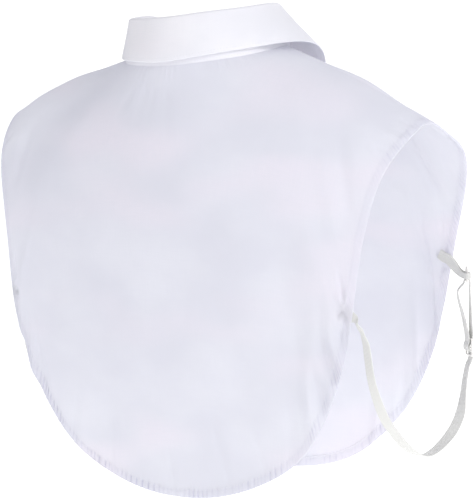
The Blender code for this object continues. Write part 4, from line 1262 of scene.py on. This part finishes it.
def ringMesh(name, mirror):
    """A turned ring of smooth wire, standing on edge."""
    along, up = unit(np.array(ring["along"])), np.array([0.0, 0.0, 1.0])
    thick = np.cross(along, up)
    steps, sides = 72, 20
    a, b = np.meshgrid(np.arange(steps) * 2 * math.pi / steps, np.arange(sides) * 2 * math.pi / sides, indexing="ij")
    out = along * np.cos(a)[..., None] + up * np.sin(a)[..., None]
    points = np.array(ring["centre"]) + out * (ring["radius"] + ring["wire"] * np.cos(b))[..., None]
    points = points + thick * (ring["wire"] * np.sin(b))[..., None]
    points[..., 0] *= mirror
    number = np.arange(steps * sides).reshape(steps, sides)
    right, down = np.roll(number, -1, 0), np.roll(number, -1, 1)
    faces = np.stack([number, right, np.roll(right, -1, 1), down], -1).reshape(-1, 4).tolist()
    return solidMesh(name, points.reshape(-1, 3), faces)


def sliderMesh(name, mirror):
    """A flat moulded frame with a middle bar and two windows."""
    halfLength, halfWidth, bar = slider["length"] / 2, slider["width"] / 2, slider["bar"]
    places = [-halfLength, bar - halfLength, -bar / 2, bar / 2, halfLength - bar, halfLength]
    sides = [-halfWidth, bar - halfWidth, halfWidth - bar, halfWidth]
    length, width, thick = sliderFrame()
    form = bmesh.new()
    grid = {}
    for level in (-1, 1):
        for i, place in enumerate(places):
            for j, side in enumerate(sides):
                spot = np.array(slider["centre"]) + length * place + width * side + thick * level * slider["wall"] / 2
                spot[0] *= mirror
                grid[level, i, j] = form.verts.new(spot * mm)
    cells = [(i, j) for i in range(5) for j in range(3) if not (j == 1 and i in (1, 3))]
    for i, j in cells:
        for level in (-1, 1):
            form.faces.new([grid[level, i, j], grid[level, i, j + 1], grid[level, i + 1, j + 1], grid[level, i + 1, j]])
    for edge in [e for e in form.edges if len(e.link_faces) == 1]:
        near = [next(key for key, v in grid.items() if v == vert) for vert in edge.verts]
        if near[0][0] == -1:
            form.faces.new([grid[near[0]], grid[near[1]], grid[1, near[1][1], near[1][2]], grid[1, near[0][1], near[0][2]]])
    bmesh.ops.recalc_face_normals(form, faces=form.faces)
    sharp = [e for e in form.edges if e.calc_face_angle(0) > 1]
    bmesh.ops.bevel(form, geom=sharp, offset=0.4 * mm, segments=4, profile=0.5, affect="EDGES")
    mesh = bpy.data.meshes.new(name)
    form.to_mesh(mesh)
    form.free()
    return mesh


def makeStraps():
    for sideName, mirror in (("left", 1), ("right", -1)):
        inward = elastic["leftHangsCloser"] if sideName == "left" else 0
        for part, rows, count in (("strap", strapPath(inward), 520), ("tab", tabPath(), 130)):
            path = smoothRoute(rows, count)
            outer, inner, flat, run = ribbedRibbon(part, path)
            outer, inner = outer * [mirror, 1, 1], inner * [mirror, 1, 1]
            name = f"{sideName}_{part}"
            piece = finishedObject(f"{name}_elastic", shellMesh(name, outer, inner, flat), elasticFinish)
            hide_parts(name)
            print(f"  {name}: {run:.0f} mm of elastic")
        for part, make in (("slider", sliderMesh), ("ring", ringMesh)):
            name = f"{sideName}_{part}"
            piece = finishedObject(f"{name}_moulded", make(name, mirror), plastic)
            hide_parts(name)


makeStraps()

print("buttons")
button = {"holesApart": 2.6, "threadOut": 0.25, "holeLength": 13.0, "holeWidth": 1.5, "holeDrop": 1.0}


def makeButtons():
    threads, buttonholes = [], []
    for name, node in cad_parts.items():
        if "button" not in name:
            continue
        node.data.materials.clear()
        node.data.materials.append(pearl)
        spots = np.array([node.matrix_world @ v.co for v in node.data.vertices]) / mm
        centre = (spots.min(0) + spots.max(0)) / 2
        facing = np.linalg.svd(spots - centre, full_matrices=False)[2][2]
        facing = facing * (-1 if facing[1] > 0 else 1)
        along = unit(np.cross(facing, [1.0, 0, 0]))
        across = unit(np.cross(along, facing))
        face = centre + facing * button["threadOut"]
        half = button["holesApart"] / 2
        for side in (-1, 1):
            ends = [face + across * side * half * way + along * half * way for way in (-1, 1)]
            threads.append(np.linspace(*ends, 3))
        foot = centre - facing * button["holeDrop"]
        reach = button["holeLength"] / 2
        for side in (-1, 1):
            beside = foot + across * side * button["holeWidth"] / 2
            buttonholes.append(np.linspace(beside - along * reach, beside + along * reach, 40))
    makeStitches("button_threads", threads, spacing=0.9, length=2.2, thickness=0.24)
    makeStitches("buttonhole_stitches", buttonholes, spacing=0.45, length=0.5, thickness=0.32)


makeButtons()

print("floor and lights")
stage = {
    "floorHeight": -900.0,
    "floorSize": 30000.0,
    "floorGlow": 0.66,
    "world": 0.66,
}


def makeStage():
    nodes = Nodes("pale floor")
    place = nodes.add("ShaderNodeTexCoord").outputs["Object"]
    cloud = stretchedNoise(nodes, place, (0.6, 0.6, 0.6), 2.0)
    colour = mixColours(nodes, cloud, (0.93, 0.93, 0.93), (0.96, 0.96, 0.96))
    shader = nodes.add("ShaderNodeBsdfPrincipled", Roughness=0.9)
    shader.inputs["Specular IOR Level"].default_value = 0.0
    shader.inputs["Emission Color"].default_value = (1, 1, 1, 1)
    shader.inputs["Emission Strength"].default_value = stage["floorGlow"]
    nodes.link(colour, shader.inputs["Base Color"])
    finish = nodes.add("ShaderNodeOutputMaterial")
    nodes.link(shader.outputs["BSDF"], finish.inputs["Surface"])
    size, height = stage["floorSize"] / 2 * mm, stage["floorHeight"] * mm
    mesh = bpy.data.meshes.new("floor")
    corners = [(-size, -size, height), (size, -size, height), (size, size, height), (-size, size, height)]
    mesh.from_pydata(corners, [], [(0, 1, 2, 3)])
    mesh.materials.append(nodes.material)
    floor = bpy.data.objects.new("floor", mesh)
    bpy.context.scene.collection.objects.link(floor)
    world = bpy.data.worlds.new("studio")
    world.use_nodes = True
    world.node_tree.nodes["Background"].inputs["Color"].default_value = (1, 1, 1, 1)
    world.node_tree.nodes["Background"].inputs["Strength"].default_value = stage["world"]
    bpy.context.scene.world = world
    bpy.context.scene.view_settings.view_transform = "Standard"


def softLight(name, place, aim, size, power):
    lamp = bpy.data.lights.new(name, "AREA")
    lamp.shape = "DISK"
    lamp.size = size * mm
    lamp.energy = power
    light = bpy.data.objects.new(name, lamp)
    bpy.context.scene.collection.objects.link(light)
    light.location = Vector(place) * mm
    light.rotation_mode = "QUATERNION"
    light.rotation_quaternion = (Vector(aim) - Vector(place)).to_track_quat("-Z", "Y")


makeStage()
softLight("key", (-1900, 350, 1200), (0, 0, -100), 1000, 21)
softLight("front", (300, -1900, 150), (0, 0, -200), 1300, 11)
softLight("fill", (-200, 2000, -400), (0, 0, -180), 900, 4)
